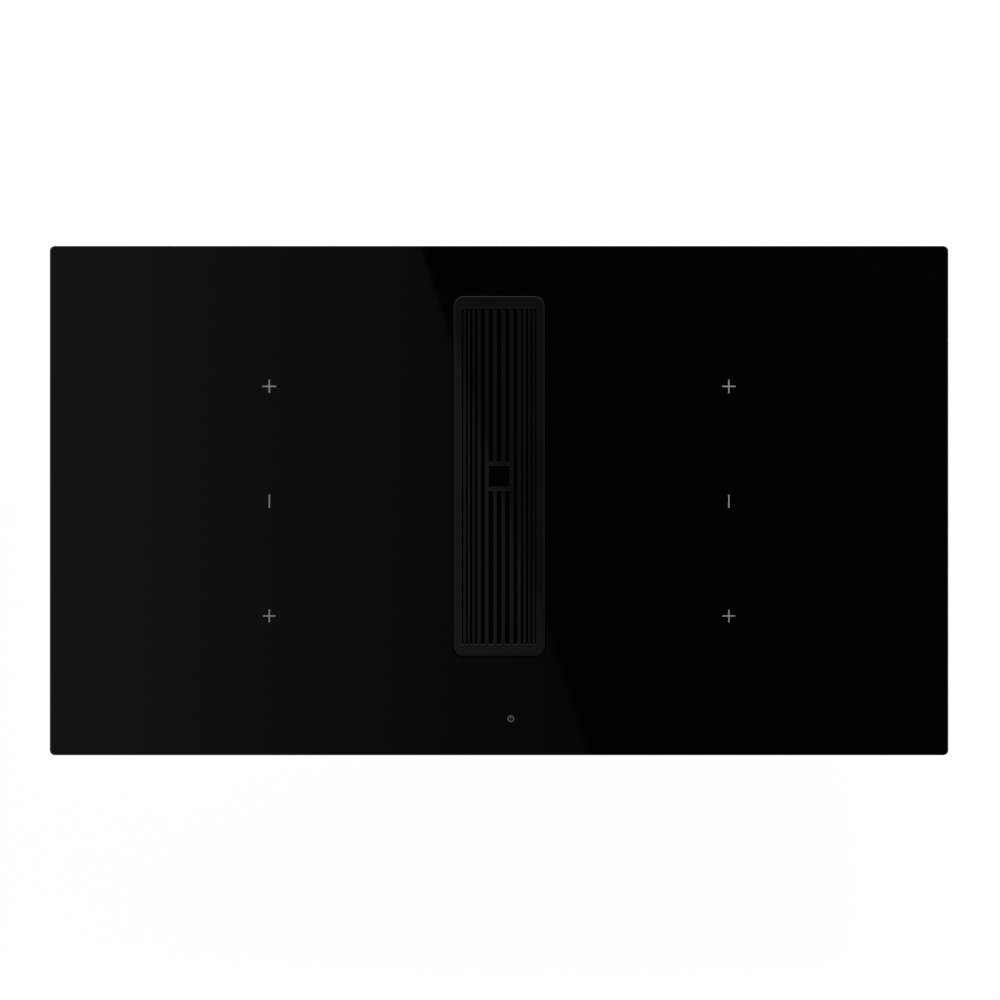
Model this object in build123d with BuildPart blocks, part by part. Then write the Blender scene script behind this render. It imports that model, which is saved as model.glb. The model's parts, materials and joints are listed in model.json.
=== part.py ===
from build123d import *

import math
import os

# Downdraft induction cooktop: a black glass-ceramic hob, 900 mm wide, with an air inlet in its middle.
#
# Millimetres, +Z up, +X to the right and +Y to the back. The origin lies on the worktop's surface, under the
# middle of the glass: the sealing tape's underside is z = 0, and everything below it hangs in the cut-out.
#
# Under the glass, a sheet-steel casing carries four spring-loaded induction coils, their power boards and two
# cooling fans. The air inlet holds a lift-out grille over a lift-out grease filter, and a shaft leads down
# through the casing into a fan unit with a drum rotor, a flap, a flat-duct socket and an overflow tray.

os.makedirs("parts", exist_ok=True)

# ---------------------------------------------------------------- driving sizes
# Glass
glass_width = 900.0
glass_depth = 510.0
glass_thickness = 4.0
glass_corner = 5.0
glass_arris = 1.0  # ground facet along the top edges
seal_thickness = 2.0
seal_width = 11.0
seal_setback = 1.5  # the tape stands back from the glass edge

# Air inlet and grille
inlet_y = 24.5  # the inlet lies this far behind the middle of the glass
grille_width = 91.4
grille_length = 360.6
grille_corner = 10.0
grille_proud = 2.5  # the grille stands this far above the glass
grille_gap = 0.8  # shadow gap between the grille and the glass
grille_round = 1.8  # rounding of the grille's upper rim
grille_end_border = 12.0
slot_widths = (4.2, 4.2, 3.7, 2.4, 2.1, 1.7, 1.3)  # middle slot first, then outwards
bar_widths = (4.1, 4.1, 3.7, 2.6, 2.5, 2.6)  # between those slots
slot_easing = 0.3  # broken upper edge of each slot
slots_in_hole = 2  # the middle slot and its neighbours stop at the finger hole
finger_hole_length = 20.7
cross_bar = 4.4  # bars before and behind the finger hole
grille_pad_thickness = 1.3
grille_pad_width = 5.0
grille_pad_length = 14.0
grille_pad_spacing = 150.0

# Inlet collar
collar_lip = 14.0  # flange that is bonded under the glass, around the hole
collar_lip_thickness = 2.5
collar_wall = 3.0
ledge_depth = 5.0  # the ledge for the filter lies this far under the glass
ledge_width = 4.5
ledge_thickness = 3.0
ledge_corner = 2.0
gasket_thickness = 1.0

# Grease filter
rim_play = 0.7  # the filter's rim to the hole, all round
rim_thickness = 2.2
filter_play = 1.0  # the filter's body to the ledge's opening, all round
filter_depth = 92.0
filter_bottom_width = 56.0
filter_wall = 2.0
rim_opening_border = 7.8
window_count = 4
window_length = 72.0
window_pitch = 84.0
window_top_drop = 11.0  # windows start this far under the ledge
trough_depth = 15.0  # blind part under the windows, which holds what drips
mesh_thickness = 1.2
mesh_gap = 0.05
mesh_pitch_y = 8.2
mesh_pitch_z = 8.8
mesh_bar = 2.0
handle_width = 12.0
handle_thickness = 4.0
handle_drop = 20.0  # top of the filter's handle under the ledge

# Casing
sheet = 0.8
bond_thickness = 1.2
bond_width = 6.0
casing_width = 848.0
casing_depth = 468.0
casing_corner = 6.0
casing_drop = 54.0  # casing's underside below the worktop
flange_width = 8.0
floor_hole_gap = 1.0
bead_length = 200.0
bead_width = 12.0
bead_height = 1.2
bead_y = (-160.0, -90.0, -20.0)
vent_slot_width = 3.2
vent_slot_pitch = 7.5
vent_slots = 10
vent_slot_length = 74.0
front_vent_slots = 30
front_vent_pitch = 8.0
front_vent_height = 22.0

# Induction coils
coil_x = 230.0
coil_y = 115.0
coil_turns = 19
coil_pitch = 3.6
coil_inner_radius = 25.0
coil_straight = 20.0  # straight run between the half turns, so that the coil is oval
litz_width = 2.8  # the litz is pressed square
litz_height = 2.8
litz_gap = 0.2  # over and under the winding
coil_margin = 3.0  # former and mica sheet beyond the winding
mica_thickness = 0.8
former_thickness = 2.0
ferrite_count = 8
ferrite_length = 52.0
ferrite_width = 14.0
ferrite_thickness = 5.0
sensor_radius = 5.5
sensor_hole_radius = 8.0
carrier_width = 236.0
carrier_depth = 450.0
carrier_corner = 10.0
carrier_thickness = 2.0
carrier_window_width = 60.0
carrier_window_depth = 16.0
post_spacing_x = 200.0
post_spacing_y = 410.0
post_radius = 3.5
post_gap = 5.0  # travel between a post and the carrier above it
spring_radius = 5.5
spring_wire = 0.6
spring_turns = 8

# Power electronics, once on each side
board_x = 245.0
board_y = -45.0
board_width = 320.0
board_depth = 190.0
board_thickness = 1.6
board_corner = 2.0
standoff_height = 6.0
standoff_radius = 3.0
standoff_inset = 8.0
sink_width = 180.0
sink_depth = 60.0
sink_base = 4.0
sink_height = 22.0
sink_fins = 12
fin_thickness = 1.6
transistor_count = 6
transistor_width = 15.5
transistor_thickness = 5.0
transistor_height = 20.0
transistor_pitch = 28.0
capacitor_count = 5
capacitor_width = 32.0
capacitor_depth = 18.0
capacitor_height = 24.0
capacitor_pitch = 44.0
capacitor_y = 20.0
choke_count = 2
choke_outer_radius = 16.0
choke_inner_radius = 8.0
choke_height = 13.0
choke_pitch = 60.0
choke_y = -115.0

# Cooling fans, one on each side
blower_y = 130.0
blower_size = 92.0
blower_height = 26.0
blower_corner = 8.0
blower_bore_radius = 42.0
blower_rotor_radius = 40.0
blower_hub_radius = 17.0
blower_blades = 7
blower_blade_thickness = 1.6
blower_blade_pitch = 38.0  # degrees from flat
blower_spoke_width = 5.0
blower_spoke_height = 4.0
blower_pin_radius = 2.0
blower_pin_gap = 0.5  # pin's tip to the cap that it runs in
blower_cap = 1.5
blower_foot_gap = 1.0  # rotor over the spokes
blower_top_gap = 2.0  # rotor under the frame's top
blower_blade_margin = 1.5  # blades stay this far inside the hub's height
blower_overlap = 1.0  # how deep spokes and blades root in what carries them
running_clearance = 0.05

# Touch control
touch_x = 11.4
touch_y = -205.0
touch_key_y = -218.2
touch_width = 300.0
touch_depth = 40.0
touch_board_drop = 8.0  # board's underside below the glass
touch_tray_wall = 2.0
touch_tray_rim = 3.5
touch_tray_play = 0.5
touch_tray_corner = 4.0
touch_leg_radius = 4.0
touch_leg_inset = 50.0
key_count = 9
key_pitch = 26.0
key_radius = 4.0
display_count = 4
display_pitch = 60.0
display_width = 26.0
display_depth = 14.0
display_corner = 1.0
display_gap = 1.0  # display's window to the glass

# Air shaft
shaft_play = 3.0  # shaft to the filter's body, all round
shaft_wall = 2.5
shaft_foot_width = 5.0

# Fan unit
unit_gap = 8.0  # between the casing and the fan unit
unit_wall = 2.5
chamber_width = 108.0
chamber_length = 368.0
chamber_corner = 4.0
duct_width = 218.0  # clear size inside the fan unit's outlet
duct_height = 85.0
flat_duct_width = 222.0  # standard flat duct, outside
flat_duct_height = 89.0
flat_duct_play = 0.4
socket_depth = 25.0
socket_flange = 2.5
fan_y = 0.0
pan_height = 56.0
pan_margin = 3.5
pan_corner = 12.0
hanger_radius = 6.0
hanger_lug_height = 36.0
ear_reach = 5.0
ear_radius = 5.0
ear_height = 12.0
ear_back_inset = 60.0
flank_lug_overlap = 0.5  # how deep the left hanger lugs root in the wall

# Drum rotor and its motor
rotor_radius = 85.0
rotor_blade_depth = 15.0
rotor_blades = 36
rotor_blade_height = 60.0
rotor_blade_thickness = 1.4
rotor_blade_camber = 3.4
rotor_plate = 2.0
rotor_rim_overlap = 1.0  # the rims reach this far inside the blades
rotor_floor_gap = 3.0  # rotor to the inlet plate
hub_cup_radius = 44.0
tongue_gap = 8.0
tongue_start = 96.0  # degrees round the rotor, from +X
tongue_end = 166.0
bell_radius = 63.0
bell_wall = 2.0
bell_flare = 11.0
bell_flange_radius = 82.0
bell_rise = 9.0
motor_radius = 38.0
motor_can_wall = 1.5
motor_hole_gap = 4.0
motor_length = 43.5
motor_plate_radius = 56.0
motor_plate_thickness = 1.5
motor_mount_thickness = 1.5
motor_mount_count = 3
motor_mount_circle = 50.0
motor_mount_radius = 4.5
shaft_radius = 4.0
shaft_end_gap = 0.5
bearing_radius = 8.0
bearing_height = 5.0
bearing_wall = 2.0
stator_radius = 36.0
stator_bore = 22.0
stator_yoke = 6.0
stator_poles = 6
stator_pole_width = 7.0
stator_shoe_width = 14.0
stator_shoe_depth = 4.0
stack_gap = 2.0  # stack to the bearings' seats
armature_gap = 0.8
hub_drop = 4.0  # clearance between the motor can and the rotor's web

# Backdraft flap
flap_y = 125.0
flap_thickness = 2.0
flap_side_gap = 1.5
flap_end_gap = 2.0
flap_pin_radius = 2.5
flap_pin_drop = 4.0  # hinge axis under the duct's ceiling

# Overflow tray
tray_width = 100.0
tray_height = 22.0
tray_wall = 2.0
tray_play = 0.3
tray_back_gap = 2.0
tray_front_width = 116.0
tray_front_height = 34.0
tray_front_thickness = 3.0
tray_front_corner = 3.0
tray_grip_width = 60.0
tray_grip_depth = 9.0
tray_grip_thickness = 3.0
tray_grip_corner = 1.0
tray_grip_drop = 4.0  # grip under the panel's top edge

# Mains connection, under the casing's left rear corner
terminal_x = -325.0
terminal_y = 192.0
terminal_width = 110.0
terminal_depth = 60.0
terminal_height = 32.0
terminal_wall = 2.5
terminal_pole_count = 5
terminal_pole_width = 14.0
terminal_pole_depth = 22.0
terminal_pole_height = 16.0
cover_thickness = 2.0
cover_gap = 0.3
cover_knuckle_radius = 2.6
cover_pin_radius = 1.3
cover_knuckle_length = 10.0
cover_knuckle_inset = 20.0
cover_ear_width = 2.4
cover_ear_gap = 0.3  # between a knuckle and its ears
cover_relief = 4.0  # room in the cover beside each knuckle
cover_top_gap = 1.0  # knuckles under the casing
gland_bore_radius = 6.5
gland_outer_radius = 10.0
gland_neck_radius = 7.6
gland_hole_radius = 8.0
gland_length = 16.0
wire_radius = 1.4
wire_exit = 5.0  # straight start in front of the block
wire_loop = 6.0  # height of the arch over the board
wire_end_y = 38.0

# Fan electronics, on the fan unit's front right corner
driver_width = 56.0
driver_depth = 60.0
driver_height = 68.0
driver_wall = 2.0
driver_corner = 3.0
driver_inner_corner = 1.0
driver_lid_play = 0.3
driver_board_play = 2.0
# parts on the driver's board: offsets from its middle, then width, depth, height and corner
driver_blocks = ((-8.0, 8.0, 24.0, 20.0, 26.0, 2.0), (14.0, -10.0, 12.0, 22.0, 18.0, 1.0))
driver_capacitor = (-12.0, -14.0, 8.0, 30.0)  # offsets, radius and height
driver_inset = 2.5
cable_radius = 2.2
plug_width = 14.0
plug_depth = 12.0
plug_height = 5.5
plug_corner = 1.0

# Worktop clamps
clamp_spacing_y = 300.0
clamp_width = 30.0
clamp_thickness = 2.0
clamp_height = 18.0
clamp_reach = 20.0
clamp_drop = 24.0  # clamp screw's tip below the worktop's surface
clamp_screw_radius = 2.5
clamp_screw_length = 22.0
clamp_screw_inset = 7.0
clamp_screw_head = 4.75
clamp_nut_wall = 2.0

# Small fasteners
screw_radius = 1.7
screw_head_radius = 3.4
screw_head_height = 2.0
screw_length = 8.0
screw_gap = 0.1

# ---------------------------------------------------------------- levels and fits
glass_underside = seal_thickness
glass_top = glass_underside + glass_thickness
flange_top = glass_underside - bond_thickness
flange_underside = flange_top - sheet
floor_underside = -casing_drop
floor_top = floor_underside + sheet

hole_width = grille_width + 2 * grille_gap
hole_length = grille_length + 2 * grille_gap
hole_corner = grille_corner + grille_gap
ledge_level = glass_underside - ledge_depth
ledge_underside = ledge_level - ledge_thickness
ledge_opening_width = hole_width - 2 * ledge_width
ledge_opening_length = hole_length - 2 * ledge_width
collar_width = hole_width + 2 * collar_wall
collar_length = hole_length + 2 * collar_wall
collar_corner = hole_corner + collar_wall

rim_top = ledge_level + rim_thickness
grille_underside = rim_top + grille_pad_thickness
grille_top = glass_top + grille_proud
grille_depth = grille_top - grille_underside

filter_width = ledge_opening_width - 2 * filter_play
filter_length = ledge_opening_length - 2 * filter_play
filter_underside = ledge_level - filter_depth

shaft_width = filter_width + 2 * shaft_play
shaft_length = filter_length + 2 * shaft_play
shaft_top = ledge_underside - gasket_thickness
unit_top = floor_underside - unit_gap
duct_ceiling = unit_top - unit_wall
duct_floor = duct_ceiling - duct_height
duct_middle = (duct_ceiling + duct_floor) / 2
plate_underside = duct_floor - unit_wall
unit_underside = plate_underside - pan_height
pan_floor = unit_underside + unit_wall

chamber_outer_width = chamber_width + 2 * unit_wall
chamber_outer_length = chamber_length + 2 * unit_wall
fan_x = chamber_width / 2 + 2 * unit_wall + duct_width / 2
scroll_radius = duct_width / 2
unit_front = inlet_y - chamber_outer_length / 2
unit_back = inlet_y + chamber_outer_length / 2
unit_right = fan_x + scroll_radius + unit_wall
pan_left = -chamber_outer_width / 2 - pan_margin
pan_right = unit_right + pan_margin
pan_front = unit_front - pan_margin
pan_width = pan_right - pan_left
pan_depth = unit_back - pan_front
pan_x = (pan_left + pan_right) / 2
pan_y = (pan_front + unit_back) / 2

ferrite_top = glass_underside - mica_thickness - 2 * litz_gap - litz_height - former_thickness
winding_level = glass_underside - mica_thickness - litz_gap - litz_height
former_top = winding_level - litz_gap
carrier_top = ferrite_top - ferrite_thickness
carrier_underside = carrier_top - carrier_thickness
coil_outer_radius = coil_inner_radius + coil_turns * coil_pitch + litz_width / 2
board_underside = floor_top + standoff_height
board_top = board_underside + board_thickness

SIDES = (("left", -1), ("right", 1))


# ---------------------------------------------------------------- helpers
def at(x, y, z):
    """Horizontal plane through a point."""
    return Plane(origin=(x, y, z))


def facing(x, y, z, direction):
    """Upright plane through a point, facing a direction, with its own Y along +Z."""
    normal = Vector(*direction)
    return Plane(origin=(x, y, z), x_dir=Vector(0, 0, 1).cross(normal), z_dir=normal)


def slab(plane, width, depth, height, corner=0.0, mode=Mode.ADD):
    """Rectangular block on a plane, centred there, with rounded upright edges."""
    with BuildSketch(plane) as outline:
        if corner > 0:
            RectangleRounded(width, depth, corner)
        else:
            Rectangle(width, depth)
    extrude(outline.sketch, amount=height, mode=mode)


def disc(plane, radius, height, mode=Mode.ADD):
    """Round block on a plane, centred there."""
    with BuildSketch(plane) as outline:
        Circle(radius)
    extrude(outline.sketch, amount=height, mode=mode)


def oval(plane, radius, straight, height, mode=Mode.ADD):
    """Block with round ends, which lies along the plane's X."""
    with BuildSketch(plane) as outline:
        SlotOverall(2 * radius + straight, 2 * radius)
    extrude(outline.sketch, amount=height, mode=mode)


def keep(builder, name, *loose):
    """Labels a finished piece, together with any loose parts that it is sold with, and writes its file."""
    piece = builder.part
    if loose:
        piece = Compound([solid for part in (builder, *loose) for solid in part.part.solids()])
    piece.label = name
    export_step(piece, f"parts/{name}.step")


def tube(points, radius):
    """Round cable through points, with each bend as wide as its two runs allow."""
    corners = [Vector(*point) for point in points]
    runs = [b - a for a, b in zip(corners, corners[1:])]
    radii = []
    for before, after in zip(runs, runs[1:]):
        half_turn = math.radians(before.get_angle(after)) / 2
        radii.append(0.45 * min(before.length, after.length) / math.tan(half_turn))
    with BuildLine() as path:
        FilletPolyline(*points, radius=radii)
    with BuildSketch(Plane(origin=path.line @ 0, z_dir=path.line % 0)) as section:
        Circle(radius)
    sweep(section.sketch, path=path.line)
    print("cable bends, mm:", [round(value, 1) for value in radii])


def least_gap(path, radius, turns):
    """Least gap of a wound tube to itself, measured between points a good half turn apart or more."""
    per_turn = 36
    points = [path @ (step / (per_turn * turns)) for step in range(per_turn * turns + 1)]
    apart = per_turn // 2
    gaps = [
        (points[second] - points[first]).length
        for first in range(len(points))
        for second in range(first + apart, len(points))
    ]
    return min(gaps) - 2 * radius


def self_tapping_screw(x, y, seat, up=1):
    """Screw with its head's underside at the seat's level, and its shank away from the head."""
    disc(at(x, y, seat), screw_head_radius, up * screw_head_height)
    disc(at(x, y, seat), screw_radius, -up * screw_length)


# ---------------------------------------------------------------- glass and seals
with BuildPart() as glass_plate:
    slab(at(0, 0, glass_underside), glass_width, glass_depth, glass_thickness, glass_corner)
    slab(at(0, inlet_y, glass_underside), hole_width, hole_length, glass_thickness, hole_corner, Mode.SUBTRACT)
    glass_face = glass_plate.faces().sort_by(Axis.Z)[-1]
    chamfer(glass_face.outer_wire().edges(), glass_arris)
    hole_edges = glass_plate.faces().sort_by(Axis.Z)[-1].inner_wires()[0].edges()
    chamfer(hole_edges, glass_arris / 2)
keep(glass_plate, "glass_plate")

seal_outer_width = glass_width - 2 * seal_setback
seal_outer_depth = glass_depth - 2 * seal_setback
with BuildPart() as worktop_seal:
    slab(at(0, 0, 0), seal_outer_width, seal_outer_depth, seal_thickness, glass_corner)
    slab(
        at(0, 0, 0),
        seal_outer_width - 2 * seal_width,
        seal_outer_depth - 2 * seal_width,
        seal_thickness,
        glass_corner / 2,
        Mode.SUBTRACT,
    )
keep(worktop_seal, "worktop_seal")

bond_outer_width = casing_width + 2 * bond_width
bond_outer_depth = casing_depth + 2 * bond_width
with BuildPart() as glass_bond:
    slab(at(0, 0, flange_top), bond_outer_width, bond_outer_depth, bond_thickness, casing_corner + bond_width)
    slab(at(0, 0, flange_top), casing_width, casing_depth, bond_thickness, casing_corner, Mode.SUBTRACT)
keep(glass_bond, "glass_bond")

# ---------------------------------------------------------------- grille
slot_centres = [0.0]
for bar, inner_slot, outer_slot in zip(bar_widths, slot_widths, slot_widths[1:]):
    slot_centres.append(slot_centres[-1] + inner_slot / 2 + bar + outer_slot / 2)
slot_end = grille_length / 2 - grille_end_border
finger_hole_width = 2 * slot_centres[slots_in_hole - 1] + slot_widths[slots_in_hole - 1]
split_start = finger_hole_length / 2 + cross_bar

with BuildPart() as inlet_grille:
    slab(at(0, inlet_y, grille_underside), grille_width, grille_length, grille_depth, grille_corner)
    fillet(inlet_grille.faces().sort_by(Axis.Z)[-1].edges(), grille_round)
    with BuildSketch(at(0, inlet_y, grille_underside)) as slots:
        for index, (centre, width) in enumerate(zip(slot_centres, slot_widths)):
            for side in (1, -1) if index else (1,):
                if index < slots_in_hole:
                    split_length = slot_end - split_start
                    with Locations(*[(side * centre, end * (split_start + slot_end) / 2) for end in (1, -1)]):
                        Rectangle(width, split_length)
                else:
                    with Locations((side * centre, 0)):
                        Rectangle(width, 2 * slot_end)
        Rectangle(finger_hole_width, finger_hole_length)
    extrude(slots.sketch, amount=grille_depth, mode=Mode.SUBTRACT)
    grille_face = inlet_grille.faces().filter_by(Axis.Z).sort_by(Axis.Z)[-1]
    slot_edges = [edge for wire in grille_face.inner_wires() for edge in wire.edges()]
    chamfer(slot_edges, slot_easing)
keep(inlet_grille, "inlet_grille")

rim_width = hole_width - 2 * rim_play
rim_length = hole_length - 2 * rim_play
rim_corner = hole_corner - rim_play
pad_x = rim_width / 2 - rim_opening_border / 2
with BuildPart() as grille_pads:
    for side in (-1, 1):
        for step in (-1, 0, 1):
            spot = at(side * pad_x, inlet_y + step * grille_pad_spacing, rim_top)
            slab(spot, grille_pad_width, grille_pad_length, grille_pad_thickness, grille_pad_width / 2.5)
keep(grille_pads, "grille_pads")

# ---------------------------------------------------------------- inlet collar
with BuildPart() as inlet_collar:
    slab(
        at(0, inlet_y, glass_underside - collar_lip_thickness),
        hole_width + 2 * collar_lip,
        hole_length + 2 * collar_lip,
        collar_lip_thickness,
        hole_corner + collar_lip,
    )
    collar_depth = glass_underside - ledge_underside
    slab(at(0, inlet_y, ledge_underside), collar_width, collar_length, collar_depth, collar_corner)
    slab(at(0, inlet_y, ledge_level), hole_width, hole_length, ledge_depth, hole_corner, Mode.SUBTRACT)
    slab(
        at(0, inlet_y, ledge_underside),
        ledge_opening_width,
        ledge_opening_length,
        ledge_thickness,
        ledge_corner,
        Mode.SUBTRACT,
    )
keep(inlet_collar, "inlet_collar")

with BuildPart() as collar_gasket:
    slab(at(0, inlet_y, shaft_top), collar_width, collar_length, gasket_thickness, collar_corner)
    slab(at(0, inlet_y, shaft_top), shaft_width, shaft_length, gasket_thickness, ledge_corner, Mode.SUBTRACT)
keep(collar_gasket, "collar_gasket")

# ---------------------------------------------------------------- grease filter
filter_slope = math.atan2((filter_width - filter_bottom_width) / 2, filter_depth)
wall_across = filter_wall / math.cos(filter_slope)  # wall's width, measured level
window_top = ledge_level - window_top_drop
window_bottom = filter_underside + trough_depth
window_height = window_top - window_bottom


def filter_half_width(depth):
    """Half of the filter body's outer width, at a depth under the ledge."""
    return filter_width / 2 - depth * math.tan(filter_slope)


with BuildPart() as filter_frame:
    slab(at(0, inlet_y, ledge_level), rim_width, rim_length, rim_thickness, rim_corner)
    with BuildSketch(facing(0, inlet_y, 0, (0, -1, 0))) as body_section:
        with BuildLine():
            Polyline(
                (-filter_width / 2, ledge_level),
                (filter_width / 2, ledge_level),
                (filter_bottom_width / 2, filter_underside),
                (-filter_bottom_width / 2, filter_underside),
                close=True,
            )
        make_face()
    extrude(body_section.sketch, amount=filter_length / 2, both=True)
    hollow_top = filter_width / 2 - wall_across
    hollow_bottom = filter_half_width(filter_depth - filter_wall) - wall_across
    with BuildSketch(facing(0, inlet_y, 0, (0, -1, 0))) as hollow_section:
        with BuildLine():
            Polyline(
                (-hollow_top, ledge_level),
                (hollow_top, ledge_level),
                (hollow_bottom, filter_underside + filter_wall),
                (-hollow_bottom, filter_underside + filter_wall),
                close=True,
            )
        make_face()
    extrude(hollow_section.sketch, amount=filter_length / 2 - filter_wall, both=True, mode=Mode.SUBTRACT)
    slab(
        at(0, inlet_y, ledge_level),
        rim_width - 2 * rim_opening_border,
        rim_length - 2 * rim_opening_border,
        rim_thickness,
        filter_wall,
        Mode.SUBTRACT,
    )
    for step in range(window_count):
        window_y = inlet_y + (step - (window_count - 1) / 2) * window_pitch
        slab(at(0, window_y, window_bottom), rim_width, window_length, window_height, 0, Mode.SUBTRACT)
keep(filter_frame, "filter_frame")

# Each mesh lies against the inside of a sloping wall and covers its windows.
mesh_height = window_height / math.cos(filter_slope) + 2 * mesh_bar
mesh_length = (window_count - 1) * window_pitch + window_length + 4 * mesh_bar
holes_along = int(window_length // mesh_pitch_y)
holes_up = int(window_height // mesh_pitch_z)
mesh_depth = ledge_level - (window_top + window_bottom) / 2
mesh_across = filter_half_width(mesh_depth) - wall_across - mesh_gap / math.cos(filter_slope)
with BuildPart() as filter_meshes:
    for side in (-1, 1):
        mesh_plane = Plane(
            origin=(side * mesh_across, inlet_y, ledge_level - mesh_depth),
            x_dir=(0, 1, 0),
            z_dir=(-side * math.cos(filter_slope), 0, math.sin(filter_slope)),
        )
        slab(mesh_plane, mesh_length, mesh_height, mesh_thickness)
        with BuildSketch(mesh_plane) as mesh_holes:
            for step in range(window_count):
                with Locations(((step - (window_count - 1) / 2) * window_pitch, 0)):
                    with GridLocations(mesh_pitch_y, mesh_pitch_z, holes_along, holes_up):
                        Rectangle(mesh_pitch_y - mesh_bar, mesh_pitch_z - mesh_bar)
        extrude(mesh_holes.sketch, amount=mesh_thickness, mode=Mode.SUBTRACT)
keep(filter_meshes, "filter_meshes")

handle_top = ledge_level - handle_drop
mesh_slant = mesh_thickness / math.cos(filter_slope)
handle_across = filter_half_width(handle_drop) - wall_across - mesh_slant - 4 * mesh_gap
with BuildPart() as filter_handle:
    with BuildSketch(facing(0, inlet_y, 0, (0, -1, 0))) as handle_section:
        with BuildLine():
            taper = handle_thickness * math.tan(filter_slope)
            Polyline(
                (-handle_across, handle_top),
                (handle_across, handle_top),
                (handle_across - taper, handle_top - handle_thickness),
                (-handle_across + taper, handle_top - handle_thickness),
                close=True,
            )
        make_face()
    extrude(handle_section.sketch, amount=handle_width / 2, both=True)
    handle_rims = filter_handle.edges().filter_by(Axis.X).group_by(Axis.Z)[-1]
    fillet(handle_rims, handle_thickness / 3)
keep(filter_handle, "filter_handle")

# ---------------------------------------------------------------- air shaft
shaft_outer_width = shaft_width + 2 * shaft_wall
shaft_outer_length = shaft_length + 2 * shaft_wall
shaft_corner = ledge_corner + shaft_wall
with BuildPart() as air_shaft:
    slab(at(0, inlet_y, unit_top), shaft_outer_width, shaft_outer_length, shaft_top - unit_top, shaft_corner)
    slab(at(0, inlet_y, shaft_top - shaft_wall), collar_width, collar_length, shaft_wall, collar_corner)
    slab(
        at(0, inlet_y, unit_top),
        shaft_outer_width + 2 * shaft_foot_width,
        shaft_outer_length + 2 * shaft_foot_width,
        shaft_wall,
        shaft_corner + shaft_foot_width,
    )
    slab(at(0, inlet_y, unit_top), shaft_width, shaft_length, shaft_top - unit_top, ledge_corner, Mode.SUBTRACT)
keep(air_shaft, "air_shaft")

# ---------------------------------------------------------------- casing
floor_hole_width = collar_width + 2 * floor_hole_gap
floor_hole_length = collar_length + 2 * floor_hole_gap
hanger_spots = [
    (unit_right - 2.5 * hanger_radius, fan_y - scroll_radius / 3),
    (unit_right - 2.5 * hanger_radius, unit_back - 3 * hanger_radius),
    (fan_x - scroll_radius + 4 * hanger_radius, unit_back - 3 * hanger_radius),
    (-chamber_outer_width / 2 - hanger_radius + flank_lug_overlap, inlet_y - chamber_length / 3),
    (-chamber_outer_width / 2 - hanger_radius + flank_lug_overlap, inlet_y + chamber_length / 3),
]
mains_hole_x = terminal_x
mains_hole_y = terminal_y - terminal_depth / 6

with BuildPart() as casing_tub:
    slab(at(0, 0, floor_underside), casing_width, casing_depth, flange_top - floor_underside, casing_corner)
    slab(
        at(0, 0, flange_underside),
        casing_width + 2 * flange_width,
        casing_depth + 2 * flange_width,
        sheet,
        casing_corner + flange_width,
    )
    slab(
        at(0, 0, floor_top),
        casing_width - 2 * sheet,
        casing_depth - 2 * sheet,
        flange_top - floor_top,
        casing_corner - sheet,
        Mode.SUBTRACT,
    )
    for side in (-1, 1):
        for y in bead_y:
            bead = at(side * board_x, y, floor_underside - bead_height)
            oval(bead, bead_width / 2, bead_length, bead_height + sheet)
            recess = at(side * board_x, y, floor_underside - bead_height + sheet)
            oval(recess, bead_width / 2 - sheet, bead_length, bead_height, Mode.SUBTRACT)
    slab(
        at(0, inlet_y, floor_underside),
        floor_hole_width,
        floor_hole_length,
        sheet,
        collar_corner + floor_hole_gap,
        Mode.SUBTRACT,
    )
    for side in (-1, 1):
        with BuildSketch(at(side * board_x, blower_y, floor_underside)) as floor_vents:
            with GridLocations(0, vent_slot_pitch, 1, vent_slots):
                SlotOverall(vent_slot_length, vent_slot_width)
        extrude(floor_vents.sketch, amount=sheet, mode=Mode.SUBTRACT)
        front_vents = facing(side * board_x, -casing_depth / 2, floor_underside / 2, (0, -1, 0))
        with BuildSketch(front_vents) as wall_vents:
            with GridLocations(front_vent_pitch, 0, front_vent_slots, 1):
                SlotOverall(front_vent_height, vent_slot_width, rotation=90)
        extrude(wall_vents.sketch, amount=-sheet, mode=Mode.SUBTRACT)
    for x, y in hanger_spots:
        disc(at(x, y, floor_underside), screw_radius + screw_gap, sheet, Mode.SUBTRACT)
    disc(at(mains_hole_x, mains_hole_y, floor_underside), gland_bore_radius, sheet, Mode.SUBTRACT)
keep(casing_tub, "casing_tub")

# ---------------------------------------------------------------- induction coils
former_radius = coil_outer_radius + coil_margin


def spiral(shift=0.0):
    """Oval spiral from the inside out: half turns about two centres, joined by straight runs."""
    half = coil_straight / 2
    for turn in range(coil_turns):
        radius = coil_inner_radius + turn * coil_pitch + shift
        left_radius = radius + coil_pitch / 2
        wider = radius + coil_pitch
        ThreePointArc((half, -radius), (half + radius, 0), (half, radius))
        Line((half, radius), (-half, radius))
        ThreePointArc((-half, radius), (-half - left_radius, -coil_pitch / 2), (-half, -wider))
        Line((-half, -wider), (half, -wider))


with BuildLine() as winding_middle:
    spiral()
winding_gap = least_gap(winding_middle.line, litz_width / 2, coil_turns)
print("coil winding: least gap to itself, mm:", round(winding_gap, 2))

# The winding is one pressed litz: both sides of the spiral, closed at its two ends.
with BuildPart(mode=Mode.PRIVATE) as winding:
    with BuildSketch():
        with BuildLine():
            spiral(-litz_width / 2)
            spiral(litz_width / 2)
            for radius in (coil_inner_radius, coil_inner_radius + coil_turns * coil_pitch):
                end_x, end_y = coil_straight / 2, -radius
                Line((end_x, end_y + litz_width / 2), (end_x, end_y - litz_width / 2))
        make_face()
    extrude(amount=litz_height)

COIL_SPOTS = [(side * coil_x, row * coil_y) for side in (-1, 1) for row in (-1, 1)]

with BuildPart() as induction_coils:
    for x, y in COIL_SPOTS:
        with Locations((x, y, winding_level)):
            add(winding.part)
keep(induction_coils, "induction_coils")

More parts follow.
